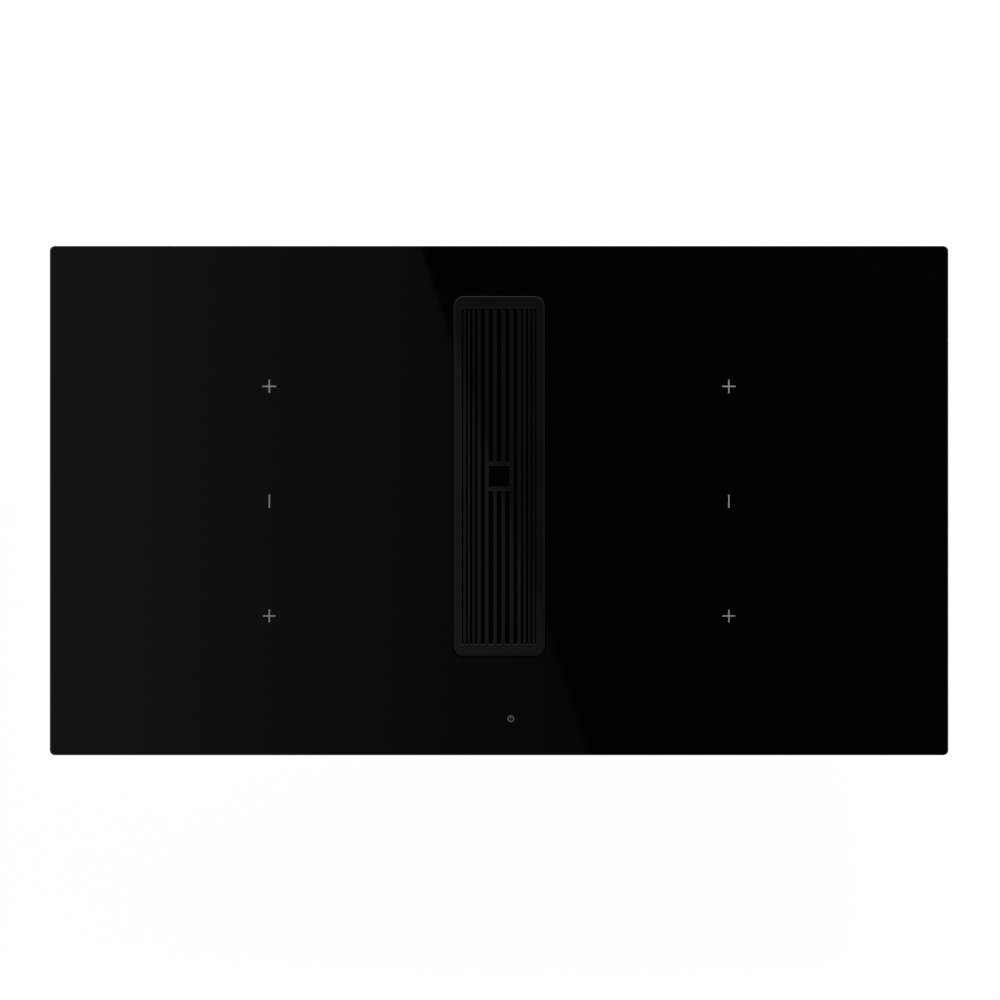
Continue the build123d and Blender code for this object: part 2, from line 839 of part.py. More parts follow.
with BuildPart() as coil_formers:
    for x, y in COIL_SPOTS:
        former_base = at(x, y, former_top - former_thickness)
        oval(former_base, former_radius, coil_straight, former_thickness)
        disc(former_base, sensor_hole_radius, former_thickness, Mode.SUBTRACT)
keep(coil_formers, "coil_formers")

with BuildPart() as ferrite_bars:
    ferrite_circle = coil_outer_radius - ferrite_length / 2 - coil_margin
    for x, y in COIL_SPOTS:
        with BuildSketch(at(x, y, carrier_top)) as bars:
            with PolarLocations(ferrite_circle, ferrite_count, start_angle=180 / ferrite_count):
                Rectangle(ferrite_length, ferrite_width)
        extrude(bars.sketch, amount=ferrite_thickness)
keep(ferrite_bars, "ferrite_bars")

with BuildPart() as coil_carriers:
    for side in (-1, 1):
        carrier_plane = at(side * coil_x, 0, carrier_underside)
        slab(carrier_plane, carrier_width, carrier_depth, carrier_thickness, carrier_corner)
        with BuildSketch(carrier_plane) as lightening:
            with GridLocations(2 * coil_inner_radius + carrier_window_width, 0, 2, 1):
                RectangleRounded(carrier_window_width, carrier_window_depth, carrier_window_depth / 3)
        extrude(lightening.sketch, amount=carrier_thickness, mode=Mode.SUBTRACT)
keep(coil_carriers, "coil_carriers")

with BuildPart() as mica_sheets:
    for x, y in COIL_SPOTS:
        mica_base = at(x, y, glass_underside - mica_thickness)
        oval(mica_base, former_radius, coil_straight, mica_thickness)
        disc(mica_base, sensor_hole_radius, mica_thickness, Mode.SUBTRACT)
keep(mica_sheets, "mica_sheets")

with BuildPart() as temperature_sensors:
    for x, y in COIL_SPOTS:
        disc(at(x, y, carrier_top), sensor_radius, glass_underside - carrier_top)
keep(temperature_sensors, "temperature_sensors")

post_spots = [
    (side * coil_x + x * post_spacing_x / 2, y * post_spacing_y / 2)
    for side in (-1, 1)
    for x in (-1, 1)
    for y in (-1, 1)
]
with BuildPart() as carrier_posts:
    for x, y in post_spots:
        disc(at(x, y, floor_top), post_radius, carrier_underside - post_gap - floor_top)
keep(carrier_posts, "carrier_posts")

spring_height = carrier_underside - floor_top - 2 * spring_wire - 4 * screw_gap
spring_foot = floor_top + spring_wire + 2 * screw_gap
with BuildPart(mode=Mode.PRIVATE) as spring:
    with BuildLine() as turns:
        Helix(spring_height / spring_turns, spring_height, spring_radius)
    with BuildSketch(Plane(origin=turns.line @ 0, z_dir=turns.line % 0)):
        RegularPolygon(spring_wire, 8)
    sweep(path=turns.line)
print("carrier spring: least gap to itself, mm:", round(least_gap(turns.line, spring_wire, spring_turns), 2))
with BuildPart() as carrier_springs:
    for x, y in post_spots:
        with Locations((x, y, spring_foot)):
            add(spring.part)
keep(carrier_springs, "carrier_springs")

# ---------------------------------------------------------------- power electronics
with BuildPart() as board_standoffs:
    for side in (-1, 1):
        for x in (-1, 0, 1):
            for y in (-1, 1):
                spot_x = side * board_x + x * (board_width / 2 - standoff_inset)
                spot_y = board_y + y * (board_depth / 2 - standoff_inset)
                disc(at(spot_x, spot_y, floor_top), standoff_radius, standoff_height)
keep(board_standoffs, "board_standoffs")

with BuildPart() as power_boards:
    for side in (-1, 1):
        board_plane = at(side * board_x, board_y, board_underside)
        slab(board_plane, board_width, board_depth, board_thickness, board_corner)
keep(power_boards, "power_boards")

with BuildPart() as heat_sinks:
    fin_step = (sink_depth - fin_thickness) / (sink_fins - 1)
    for side in (-1, 1):
        slab(at(side * board_x, board_y, board_top), sink_width, sink_depth, sink_base)
        with BuildSketch(at(side * board_x, board_y, board_top + sink_base)) as fins:
            with GridLocations(0, fin_step, 1, sink_fins):
                Rectangle(sink_width, fin_thickness)
        extrude(fins.sketch, amount=sink_height - sink_base)
keep(heat_sinks, "heat_sinks")

with BuildPart() as power_transistors:
    for side in (-1, 1):
        row_y = board_y - sink_depth / 2 - transistor_thickness / 2
        with BuildSketch(at(side * board_x, row_y, board_top)) as packages:
            with GridLocations(transistor_pitch, 0, transistor_count, 1):
                Rectangle(transistor_width, transistor_thickness)
        extrude(packages.sketch, amount=transistor_height)
keep(power_transistors, "power_transistors")

with BuildPart() as film_capacitors:
    for side in (-1, 1):
        with BuildSketch(at(side * board_x, capacitor_y, board_top)) as boxes:
            with GridLocations(capacitor_pitch, 0, capacitor_count, 1):
                RectangleRounded(capacitor_width, capacitor_depth, 2)
        extrude(boxes.sketch, amount=capacitor_height)
keep(film_capacitors, "film_capacitors")

with BuildPart() as filter_chokes:
    for side in (-1, 1):
        with BuildSketch(at(side * board_x, choke_y, board_top)) as rings:
            with GridLocations(choke_pitch, 0, choke_count, 1):
                Circle(choke_outer_radius)
                Circle(choke_inner_radius, mode=Mode.SUBTRACT)
        extrude(rings.sketch, amount=choke_height)
    fillet(filter_chokes.edges().filter_by(GeomType.CIRCLE).group_by(Axis.Z)[-1], choke_height / 6)
keep(filter_chokes, "filter_chokes")

# ---------------------------------------------------------------- cooling fans
blower_hub_top = floor_top + blower_spoke_height
rotor_low = blower_hub_top + blower_foot_gap
rotor_high = floor_top + blower_height - blower_top_gap
rotor_rise = rotor_high - rotor_low
with BuildPart() as cooling_fan_frames:
    for side in (-1, 1):
        blower_base = at(side * board_x, blower_y, floor_top)
        slab(blower_base, blower_size, blower_size, blower_height, blower_corner)
        disc(blower_base, blower_bore_radius, blower_height, Mode.SUBTRACT)
        with BuildSketch(blower_base) as spokes:
            Circle(blower_hub_radius)
            spoke_length = 2 * (blower_bore_radius + blower_overlap)
            Rectangle(spoke_length, blower_spoke_width)
            Rectangle(blower_spoke_width, spoke_length)
        extrude(spokes.sketch, amount=blower_spoke_height)
        pin_height = rotor_high - blower_cap - blower_pin_gap - blower_hub_top
        disc(at(side * board_x, blower_y, blower_hub_top), blower_pin_radius, pin_height)
keep(cooling_fan_frames, "cooling_fan_frames")

blade_tilt = math.radians(blower_blade_pitch)
blade_chord = (rotor_rise - 2 * blower_blade_margin) / math.sin(blade_tilt)
blade_length = blower_rotor_radius - blower_hub_radius + blower_overlap
for name, side in SIDES:
    with BuildPart() as cooling_fan_rotor:
        rotor_base = at(side * board_x, blower_y, rotor_low)
        disc(rotor_base, blower_hub_radius, rotor_rise)
        middle = Vector(side * board_x, blower_y, (rotor_low + rotor_high) / 2)
        for blade in range(blower_blades):
            radial = Vector(1, 0, 0).rotate(Axis.Z, 360 * blade / blower_blades)
            across = radial.rotate(Axis.Z, 90)
            chord = across * math.cos(blade_tilt) + Vector(0, 0, math.sin(blade_tilt))
            root = middle + radial * (blower_hub_radius - blower_overlap)
            with BuildSketch(Plane(origin=root, x_dir=chord, z_dir=radial)) as blade_section:
                SlotOverall(blade_chord, blower_blade_thickness)
            extrude(blade_section.sketch, amount=blade_length)
        disc(rotor_base, blower_pin_radius + running_clearance, rotor_rise - blower_cap, Mode.SUBTRACT)
    keep(cooling_fan_rotor, f"cooling_fan_rotor_{name}")

# ---------------------------------------------------------------- touch control
touch_underside = glass_underside - touch_board_drop
touch_top = touch_underside + board_thickness
with BuildPart() as touch_board:
    slab(at(0, touch_y, touch_underside), touch_width, touch_depth, board_thickness, board_corner)
keep(touch_board, "touch_board")

with BuildPart() as touch_tray:
    tray_base = at(0, touch_y, touch_underside - touch_tray_wall)
    nest_width = touch_width + 2 * touch_tray_play
    nest_depth = touch_depth + 2 * touch_tray_play
    slab(
        tray_base,
        nest_width + 2 * touch_tray_rim,
        nest_depth + 2 * touch_tray_rim,
        touch_tray_wall + board_thickness,
        touch_tray_corner,
    )
    slab(
        at(0, touch_y, touch_underside),
        nest_width,
        nest_depth,
        board_thickness,
        board_corner,
        Mode.SUBTRACT,
    )
    for x in (-1, 1):
        for y in (-1, 1):
            leg_x = x * (touch_width / 2 - touch_leg_inset)
            leg_y = touch_y + y * (touch_depth / 2 - touch_leg_radius)
            disc(at(leg_x, leg_y, floor_top), touch_leg_radius, touch_underside - floor_top)
keep(touch_tray, "touch_tray")

with BuildPart() as touch_keys:
    with BuildSketch(at(touch_x, touch_key_y, touch_top)) as key_row:
        with GridLocations(key_pitch, 0, key_count, 1):
            Circle(key_radius)
    extrude(key_row.sketch, amount=glass_underside - touch_top)
keep(touch_keys, "touch_keys")

with BuildPart() as display_modules:
    with BuildSketch(at(0, touch_y + touch_depth / 5, touch_top)) as display_row:
        with GridLocations(display_pitch, 0, display_count, 1):
            RectangleRounded(display_width, display_depth, display_corner)
    extrude(display_row.sketch, amount=glass_underside - display_gap - touch_top)
keep(display_modules, "display_modules")


# ---------------------------------------------------------------- fan unit
def unit_outline(inset):
    """Plan of the chamber and the round-nosed fan bay, drawn in from the outer walls by an inset."""
    with Locations((0, inlet_y)):
        Rectangle(chamber_outer_width - 2 * inset, chamber_outer_length - 2 * inset)
    with Locations((fan_x, fan_y)):
        Circle(scroll_radius + unit_wall - inset)
    bay_depth = unit_back - fan_y
    with Locations((fan_x, fan_y + bay_depth / 2)):
        Rectangle(2 * (scroll_radius + unit_wall - inset), bay_depth)


tongue_radius = rotor_radius + tongue_gap


def tongue_point(angle, radius=tongue_radius):
    """Point beside the rotor, at an angle from +X and a radius from the fan's axis."""
    turn = math.radians(angle)
    return (fan_x + radius * math.cos(turn), fan_y + radius * math.sin(turn))


# The base pan, the inlet plate and the housing are screwed together at ears on both flanks.
ear_spots = [
    (pan_left - ear_reach, inlet_y - chamber_length / 4, -1),
    (pan_left - ear_reach, inlet_y + chamber_length / 4, -1),
    (pan_right + ear_reach, fan_y, 1),
    (pan_right + ear_reach, unit_back - ear_back_inset, 1),
]


def ears(level, height, root):
    """Round-ended ears with screw holes, from a distance behind the pan's flanks."""
    for x, y, side in ear_spots:
        length = ear_reach + root
        slab(at(x - side * length / 2, y, level), length, 2 * ear_radius, height)
        disc(at(x, y, level), ear_radius, height)


def ear_holes(level, depth, clearance):
    for x, y, _ in ear_spots:
        disc(at(x, y, level), screw_radius + clearance, depth, Mode.SUBTRACT)


flap_axis_z = duct_ceiling - flap_pin_drop
motor_hole_radius = motor_radius + motor_hole_gap

with BuildPart() as unit_body:
    with BuildSketch(Plane.XY.offset(unit_top)) as outside:
        unit_outline(0)
    extrude(outside.sketch, amount=duct_floor - unit_top)
    slab(
        at(0, inlet_y, duct_floor),
        chamber_width,
        chamber_outer_length,
        duct_height,
        0,
        Mode.SUBTRACT,
    )
    with BuildSketch(Plane.XY.offset(duct_floor)) as bay:
        with Locations((fan_x, fan_y)):
            Circle(scroll_radius)
        with Locations((fan_x, (fan_y + unit_back) / 2)):
            Rectangle(duct_width, unit_back - fan_y)
    extrude(bay.sketch, amount=duct_height, mode=Mode.SUBTRACT)
    left_wall = fan_x - scroll_radius
    with BuildSketch(Plane.XY.offset(duct_floor)) as tongue:
        with BuildLine():
            tip = tongue_point(tongue_start)
            heel = tongue_point(tongue_end)
            arc_middle = tongue_point((tongue_start + tongue_end) / 2)
            ThreePointArc(tip, arc_middle, heel)
            Line(heel, (left_wall, heel[1]))
            Line((left_wall, heel[1]), (left_wall, flap_y - 4 * flap_pin_radius))
            Line((left_wall, flap_y - 4 * flap_pin_radius), tip)
        make_face()
    extrude(tongue.sketch, amount=duct_height)
    slab(at(0, inlet_y, duct_ceiling), shaft_width, shaft_length, unit_wall, ledge_corner, Mode.SUBTRACT)
    disc(at(fan_x, fan_y, duct_ceiling), motor_hole_radius, unit_wall, Mode.SUBTRACT)
    for x, y in hanger_spots:
        low = unit_top if x > 0 else unit_top - hanger_lug_height
        disc(at(x, y, low), hanger_radius, floor_underside - low)
    for x, y in hanger_spots:
        disc(at(x, y, unit_top), screw_radius + screw_gap / 2, unit_gap, Mode.SUBTRACT)
    ears(duct_floor, ear_height, pan_margin)
    ear_holes(duct_floor, ear_height, screw_gap / 2)
    flap_bore = facing(fan_x, flap_y, flap_axis_z, (1, 0, 0))
    with BuildSketch(flap_bore) as pin_holes:
        Circle(flap_pin_radius + running_clearance)
    extrude(pin_holes.sketch, amount=scroll_radius + unit_wall, both=True, mode=Mode.SUBTRACT)

# The body comes apart into a deck, the scroll on the right, the chamber's left flank and its two end walls.
# The end walls slide in between the flanks, and the inlet plate shuts them in from below.
walls_top = Plane.XY.offset(duct_ceiling)
with BuildPart() as scroll_housing:
    add(unit_body.part)
    split(bisect_by=walls_top, keep=Keep.BOTTOM)
    split(bisect_by=Plane.YZ, keep=Keep.TOP)
keep(scroll_housing, "scroll_housing")

with BuildPart() as unit_deck:
    add(unit_body.part)
    split(bisect_by=walls_top, keep=Keep.TOP)
with BuildPart() as left_flank:
    add(unit_body.part)
    split(bisect_by=walls_top, keep=Keep.BOTTOM)
    split(bisect_by=Plane.YZ, keep=Keep.BOTTOM)
with BuildPart() as chamber_ends:
    for end in (1, -1):
        wall_y = inlet_y + end * (chamber_length + unit_wall) / 2
        slab(at(0, wall_y, duct_floor), chamber_width, unit_wall, duct_height)
keep(unit_deck, "unit_shell", left_flank, chamber_ends)

with BuildPart() as inlet_plate:
    slab(at(pan_x, pan_y, plate_underside), pan_width, pan_depth, unit_wall, pan_corner)
    chamber_mouth = at(0, inlet_y, plate_underside)
    slab(chamber_mouth, chamber_width, chamber_length, unit_wall, chamber_corner, Mode.SUBTRACT)
    disc(at(fan_x, fan_y, plate_underside), bell_radius + bell_flare, unit_wall, Mode.SUBTRACT)
    ears(plate_underside, unit_wall, unit_wall)
    ear_holes(plate_underside, unit_wall, screw_gap)
keep(inlet_plate, "inlet_plate")

with BuildPart() as inlet_ring:
    bell_low = plate_underside - bell_wall
    bell_high = duct_floor + bell_rise
    with BuildSketch(facing(fan_x, fan_y, 0, (0, -1, 0))) as bell_section:
        with BuildLine():
            Line((bell_radius, bell_high), (bell_radius, bell_low + bell_flare))
            RadiusArc((bell_radius, bell_low + bell_flare), (bell_radius + bell_flare, bell_low), -bell_flare)
            Line((bell_radius + bell_flare, bell_low), (bell_flange_radius, bell_low))
            Line((bell_flange_radius, bell_low), (bell_flange_radius, plate_underside))
            inner_flare = bell_flare - bell_wall
            Line((bell_flange_radius, plate_underside), (bell_radius + bell_flare, plate_underside))
            RadiusArc(
                (bell_radius + bell_flare, plate_underside),
                (bell_radius + bell_wall, plate_underside + inner_flare),
                inner_flare,
            )
            Line((bell_radius + bell_wall, plate_underside + inner_flare), (bell_radius + bell_wall, bell_high))
            Line((bell_radius + bell_wall, bell_high), (bell_radius, bell_high))
        make_face()
    revolve(bell_section.sketch, axis=Axis((fan_x, fan_y, 0), (0, 0, 1)))
keep(inlet_ring, "inlet_ring")

tray_low = pan_floor + tray_play
tray_hole_width = tray_width + 4 * tray_play
tray_hole_height = tray_height + 3 * tray_play
with BuildPart() as base_pan:
    slab(at(pan_x, pan_y, unit_underside), pan_width, pan_depth, pan_height, pan_corner)
    slab(
        at(pan_x, pan_y, pan_floor),
        pan_width - 2 * unit_wall,
        pan_depth - 2 * unit_wall,
        pan_height - unit_wall,
        pan_corner - unit_wall,
        Mode.SUBTRACT,
    )
    slab(
        at(0, pan_front, pan_floor),
        tray_hole_width,
        4 * unit_wall,
        tray_hole_height,
        0,
        Mode.SUBTRACT,
    )
    fillet(base_pan.faces().sort_by(Axis.Z)[0].outer_wire().edges(), unit_wall * 0.8)
    ears(plate_underside - unit_wall, unit_wall, unit_wall / 2)
    ear_holes(plate_underside - unit_wall, unit_wall, screw_gap)
keep(base_pan, "base_pan")

# ---------------------------------------------------------------- flat-duct socket and backdraft flap
socket_inner_width = flat_duct_width + 2 * flat_duct_play
socket_inner_height = flat_duct_height + 2 * flat_duct_play
with BuildPart() as outlet_socket:
    socket_face = facing(fan_x, unit_back, duct_middle, (0, 1, 0))
    slab(
        socket_face,
        socket_inner_width + 2 * unit_wall,
        socket_inner_height + 2 * unit_wall,
        socket_depth + socket_flange,
        3 * unit_wall,
    )
    socket_mouth = facing(fan_x, unit_back + socket_flange, duct_middle, (0, 1, 0))
    slab(socket_mouth, socket_inner_width, socket_inner_height, socket_depth, 2 * unit_wall, Mode.SUBTRACT)
    slab(socket_face, duct_width, duct_height, socket_flange, unit_wall, Mode.SUBTRACT)
keep(outlet_socket, "outlet_socket")

flap_low = duct_floor + flap_end_gap
with BuildPart() as backdraft_flap:
    flap_width = duct_width - 2 * flap_side_gap
    with BuildSketch(facing(fan_x - flap_width / 2, flap_y, 0, (1, 0, 0))) as flap_section:
        with Locations((0, flap_axis_z)):
            Circle(flap_pin_radius)
        with Locations((0, (flap_axis_z + flap_low) / 2)):
            Rectangle(flap_thickness, flap_axis_z - flap_low)
    extrude(flap_section.sketch, amount=flap_width)
    with BuildSketch(facing(fan_x, flap_y, flap_axis_z, (1, 0, 0))) as pins:
        Circle(flap_pin_radius)
    extrude(pins.sketch, amount=scroll_radius + unit_wall - flap_side_gap, both=True)
    with BuildSketch(facing(fan_x - flap_width / 2, flap_y, 0, (1, 0, 0))) as stiffener:
        with Locations((0, flap_low + flap_thickness)):
            Rectangle(2 * flap_thickness, 2 * flap_thickness)
    extrude(stiffener.sketch, amount=flap_width)
keep(backdraft_flap, "backdraft_flap")

# ---------------------------------------------------------------- drum rotor and motor
rotor_bottom = duct_floor + rotor_floor_gap
blade_low = rotor_bottom + rotor_plate
back_plate_low = blade_low + rotor_blade_height
motor_plate_low = unit_top + motor_mount_thickness
motor_top = motor_plate_low
motor_bottom = motor_top - motor_length
web_top = motor_bottom - hub_drop
hub_low = web_top - rotor_plate - bearing_height

inner_radius = rotor_radius - rotor_blade_depth
blade_tip = rotor_radius - rotor_blade_thickness
with BuildSketch(mode=Mode.PRIVATE) as rotor_blade:
    with BuildLine():
        blade_middle = ((inner_radius + blade_tip) / 2, -rotor_blade_camber)
        ThreePointArc((inner_radius, 0), blade_middle, (blade_tip, rotor_blade_camber))
        offset(amount=rotor_blade_thickness / 2)
    make_face()

# The rotor's steel blades are seated between its lower rim and its back plate.
with BuildPart() as rotor_vanes:
    with BuildSketch(at(fan_x, fan_y, blade_low)) as blades:
        with PolarLocations(0, rotor_blades):
            add(rotor_blade.sketch)
    extrude(blades.sketch, amount=rotor_blade_height)
keep(rotor_vanes, "rotor_vanes")

with BuildPart() as fan_rotor:
    disc(at(fan_x, fan_y, rotor_bottom), rotor_radius, rotor_plate)
    disc(at(fan_x, fan_y, rotor_bottom), inner_radius - rotor_rim_overlap, rotor_plate, Mode.SUBTRACT)
    disc(at(fan_x, fan_y, back_plate_low), rotor_radius, rotor_plate)
    cup_height = back_plate_low + rotor_plate - web_top + rotor_plate
    disc(at(fan_x, fan_y, web_top - rotor_plate), hub_cup_radius, cup_height)
    disc(
        at(fan_x, fan_y, web_top),
        hub_cup_radius - rotor_plate,
        back_plate_low + rotor_plate - web_top,
        Mode.SUBTRACT,
    )
    disc(at(fan_x, fan_y, hub_low), bearing_radius + bearing_wall, web_top - hub_low)
    disc(at(fan_x, fan_y, hub_low), shaft_radius, web_top - hub_low, Mode.SUBTRACT)
keep(fan_rotor, "fan_rotor")

with BuildPart() as motor_can:
    disc(at(fan_x, fan_y, motor_bottom), motor_radius, motor_length)
    disc(
        at(fan_x, fan_y, motor_bottom + motor_can_wall),
        motor_radius - motor_can_wall,
        motor_length - motor_can_wall,
        Mode.SUBTRACT,
    )
    disc(at(fan_x, fan_y, motor_bottom), bearing_radius + bearing_wall, bearing_height)
    disc(at(fan_x, fan_y, motor_bottom), bearing_radius, bearing_height, Mode.SUBTRACT)
    fillet(motor_can.faces().sort_by(Axis.Z)[0].outer_wire().edges(), motor_can_wall)

with BuildPart() as motor_plate:
    disc(at(fan_x, fan_y, motor_plate_low), motor_plate_radius, motor_plate_thickness)
    disc(at(fan_x, fan_y, motor_top - bearing_height), bearing_radius + bearing_wall, bearing_height)
    disc(at(fan_x, fan_y, motor_top - bearing_height), bearing_radius, bearing_height, Mode.SUBTRACT)
keep(motor_can, "motor_can", motor_plate)

with BuildPart() as motor_bearings:
    for low in (motor_bottom, motor_top - bearing_height):
        disc(at(fan_x, fan_y, low), bearing_radius, bearing_height)
        disc(at(fan_x, fan_y, low), shaft_radius + running_clearance, bearing_height, Mode.SUBTRACT)
keep(motor_bearings, "motor_bearings")

stack_low = motor_bottom + bearing_height + stack_gap
stack_high = motor_top - bearing_height - stack_gap
with BuildPart() as motor_stator:
    with BuildSketch(at(fan_x, fan_y, stack_low)) as lamination:
        Circle(motor_radius - motor_can_wall)
        Circle(stator_radius - stator_yoke, mode=Mode.SUBTRACT)
        with PolarLocations((stator_radius + stator_bore - stator_shoe_depth) / 2, stator_poles):
            Rectangle(stator_radius - stator_bore - stator_shoe_depth, stator_pole_width)
        with PolarLocations(stator_bore + stator_shoe_depth / 2, stator_poles):
            Rectangle(stator_shoe_depth, stator_shoe_width)
        Circle(stator_bore, mode=Mode.SUBTRACT)
    extrude(lamination.sketch, amount=stack_high - stack_low)
keep(motor_stator, "motor_stator")

with BuildPart() as motor_armature:
    disc(at(fan_x, fan_y, stack_low), stator_bore - armature_gap, stack_high - stack_low)
    disc(at(fan_x, fan_y, hub_low), shaft_radius, motor_top - shaft_end_gap - hub_low)
keep(motor_armature, "motor_armature")

with BuildPart() as motor_mounts:
    with BuildSketch(at(fan_x, fan_y, unit_top)) as rubber:
        with PolarLocations(motor_mount_circle, motor_mount_count, start_angle=60):
            Circle(motor_mount_radius)
    extrude(rubber.sketch, amount=motor_mount_thickness)
keep(motor_mounts, "motor_mounts")

# ---------------------------------------------------------------- overflow tray
tray_front = pan_front - tray_play
tray_back = unit_back - unit_wall - tray_back_gap
tray_length = tray_back - tray_front
tray_middle = (tray_back + tray_front) / 2
with BuildPart() as overflow_tray:
    slab(at(0, tray_middle, tray_low), tray_width, tray_length, tray_height)
    slab(
        at(0, tray_middle, tray_low + tray_wall),
        tray_width - 2 * tray_wall,
        tray_length - 2 * tray_wall,
        tray_height - tray_wall,
        tray_wall,
        Mode.SUBTRACT,
    )
    panel_face = facing(0, tray_front, tray_low + tray_front_height / 2, (0, -1, 0))
    slab(panel_face, tray_front_width, tray_front_height, tray_front_thickness, tray_front_corner)
    grip_y = tray_front - tray_front_thickness - tray_grip_depth / 2
    grip_low = tray_low + tray_front_height - tray_grip_thickness - tray_grip_drop
    slab(at(0, grip_y, grip_low), tray_grip_width, tray_grip_depth, tray_grip_thickness, tray_grip_corner)
keep(overflow_tray, "overflow_tray")

# ---------------------------------------------------------------- mains connection
terminal_top = floor_underside
terminal_low = terminal_top - terminal_height
terminal_back = terminal_y + terminal_depth / 2
cover_axis_y = terminal_back + cover_gap + cover_knuckle_radius
cover_middle_y = terminal_back + cover_gap + cover_thickness / 2
cover_axis_z = terminal_top - cover_knuckle_radius - cover_top_gap
knuckle_spots = [terminal_x + s * (terminal_width / 2 - cover_knuckle_inset) for s in (-1, 1)]
terminal_middle = terminal_low + terminal_height / 2
gland_seat = facing(terminal_x - terminal_width / 2, terminal_y, terminal_middle, (-1, 0, 0))
with BuildPart() as terminal_box:
    slab(at(terminal_x, terminal_y, terminal_low), terminal_width, terminal_depth, terminal_height)
    slab(
        at(terminal_x, terminal_y + terminal_wall, terminal_low + terminal_wall),
        terminal_width - 2 * terminal_wall,
        terminal_depth,
        terminal_height - 2 * terminal_wall,
        0,
        Mode.SUBTRACT,
    )
    disc(gland_seat, gland_hole_radius, -terminal_wall, Mode.SUBTRACT)
    disc(
        at(mains_hole_x, mains_hole_y, terminal_top - terminal_wall),
        gland_bore_radius,
        terminal_wall,
        Mode.SUBTRACT,
    )
    for x in knuckle_spots:
        for end in (-1, 1):
            ear_x = x + end * (cover_knuckle_length / 2 + cover_ear_gap + cover_ear_width / 2)
            with BuildSketch(facing(ear_x - cover_ear_width / 2, cover_axis_y, cover_axis_z, (1, 0, 0))) as ear:
                Circle(cover_knuckle_radius)
                with Locations((-cover_knuckle_radius, 0)):
                    Rectangle(2 * cover_knuckle_radius, 2 * cover_knuckle_radius)
            extrude(ear.sketch, amount=cover_ear_width)
        with BuildSketch(facing(x, cover_axis_y, cover_axis_z, (1, 0, 0))) as pin:
            Circle(cover_pin_radius)
        extrude(pin.sketch, amount=cover_knuckle_length / 2 + 2 * cover_ear_gap, both=True)
keep(terminal_box, "terminal_box")

with BuildPart() as terminal_cover:
    cover_height = cover_axis_z - terminal_low
    cover_middle = (cover_axis_z + terminal_low) / 2
    cover_face = facing(terminal_x, terminal_back + cover_gap, cover_middle, (0, 1, 0))
    slab(cover_face, terminal_width, cover_height, cover_thickness)
    for x in knuckle_spots:
        ear_relief = cover_knuckle_length + 2 * cover_relief
        relief = facing(x, terminal_back + cover_gap, cover_axis_z, (0, 1, 0))
        slab(relief, ear_relief, 4 * cover_knuckle_radius, cover_thickness, 0, Mode.SUBTRACT)
        knuckle = facing(x, cover_axis_y, cover_axis_z, (1, 0, 0))
        with BuildSketch(knuckle) as barrel:
            Circle(cover_knuckle_radius)
            with Locations((cover_middle_y - cover_axis_y, -1.5 * cover_knuckle_radius)):
                Rectangle(cover_thickness, 3 * cover_knuckle_radius)
            Circle(cover_pin_radius + running_clearance, mode=Mode.SUBTRACT)
        extrude(barrel.sketch, amount=cover_knuckle_length / 2, both=True)
keep(terminal_cover, "terminal_cover")

with BuildPart() as terminal_block:
    block_y = terminal_y + terminal_depth / 6
    with BuildSketch(at(terminal_x, block_y, terminal_low + terminal_wall)) as poles:
        with GridLocations(terminal_pole_width, 0, terminal_pole_count, 1):
            Rectangle(terminal_pole_width, terminal_pole_depth)
    extrude(poles.sketch, amount=terminal_pole_height)
    pole_top = terminal_low + terminal_wall + terminal_pole_height
    with BuildSketch(at(terminal_x, block_y, pole_top)) as screw_wells:
        with GridLocations(terminal_pole_width, terminal_pole_depth / 2, terminal_pole_count, 2):
            Circle(terminal_pole_width / 4)
    extrude(screw_wells.sketch, amount=-terminal_pole_height / 2, mode=Mode.SUBTRACT)
keep(terminal_block, "terminal_block")

with BuildPart() as cable_gland:
    with BuildSketch(gland_seat) as hexagon:
        RegularPolygon(gland_outer_radius, 6)
    extrude(hexagon.sketch, amount=gland_length / 2)
    disc(gland_seat, gland_neck_radius, gland_length)
    disc(gland_seat, gland_neck_radius, -terminal_wall)
    gland_bore = facing(
        terminal_x - terminal_width / 2 + terminal_wall,
        terminal_y,
        terminal_low + terminal_height / 2,
        (-1, 0, 0),
    )
    disc(gland_bore, gland_bore_radius, gland_length + terminal_wall, Mode.SUBTRACT)
keep(cable_gland, "cable_gland")

block_front = block_y - terminal_pole_depth / 2
wire_start_z = terminal_low + terminal_wall + terminal_pole_height / 2
wire_level = board_top + wire_loop
with BuildPart() as mains_wires:
    for index in (-1, 0, 1):
        start_x = terminal_x + index * terminal_pole_width
        lane_x = mains_hole_x + index * 3 * wire_radius
        route = (
            (start_x, block_front, wire_start_z),
            (start_x, block_front - wire_exit, wire_start_z),
            (lane_x, mains_hole_y, terminal_top - wire_loop),
            (lane_x, mains_hole_y, wire_level),
            (lane_x, wire_end_y, wire_level),
            (lane_x, wire_end_y, board_top),
        )
        tube(route, wire_radius)
keep(mains_wires, "mains_wires")

# ---------------------------------------------------------------- fan electronics
driver_x = pan_right - driver_inset - driver_width / 2
driver_y = pan_front + driver_inset + driver_depth / 2
driver_top = duct_floor + driver_height
with BuildPart() as driver_box:
    slab(at(driver_x, driver_y, duct_floor), driver_width, driver_depth, driver_height, driver_corner)
    slab(
        at(driver_x, driver_y, duct_floor + driver_wall),
        driver_width - 2 * driver_wall,
        driver_depth - 2 * driver_wall,
        driver_height - driver_wall,
        driver_inner_corner,
        Mode.SUBTRACT,
    )
keep(driver_box, "driver_box")

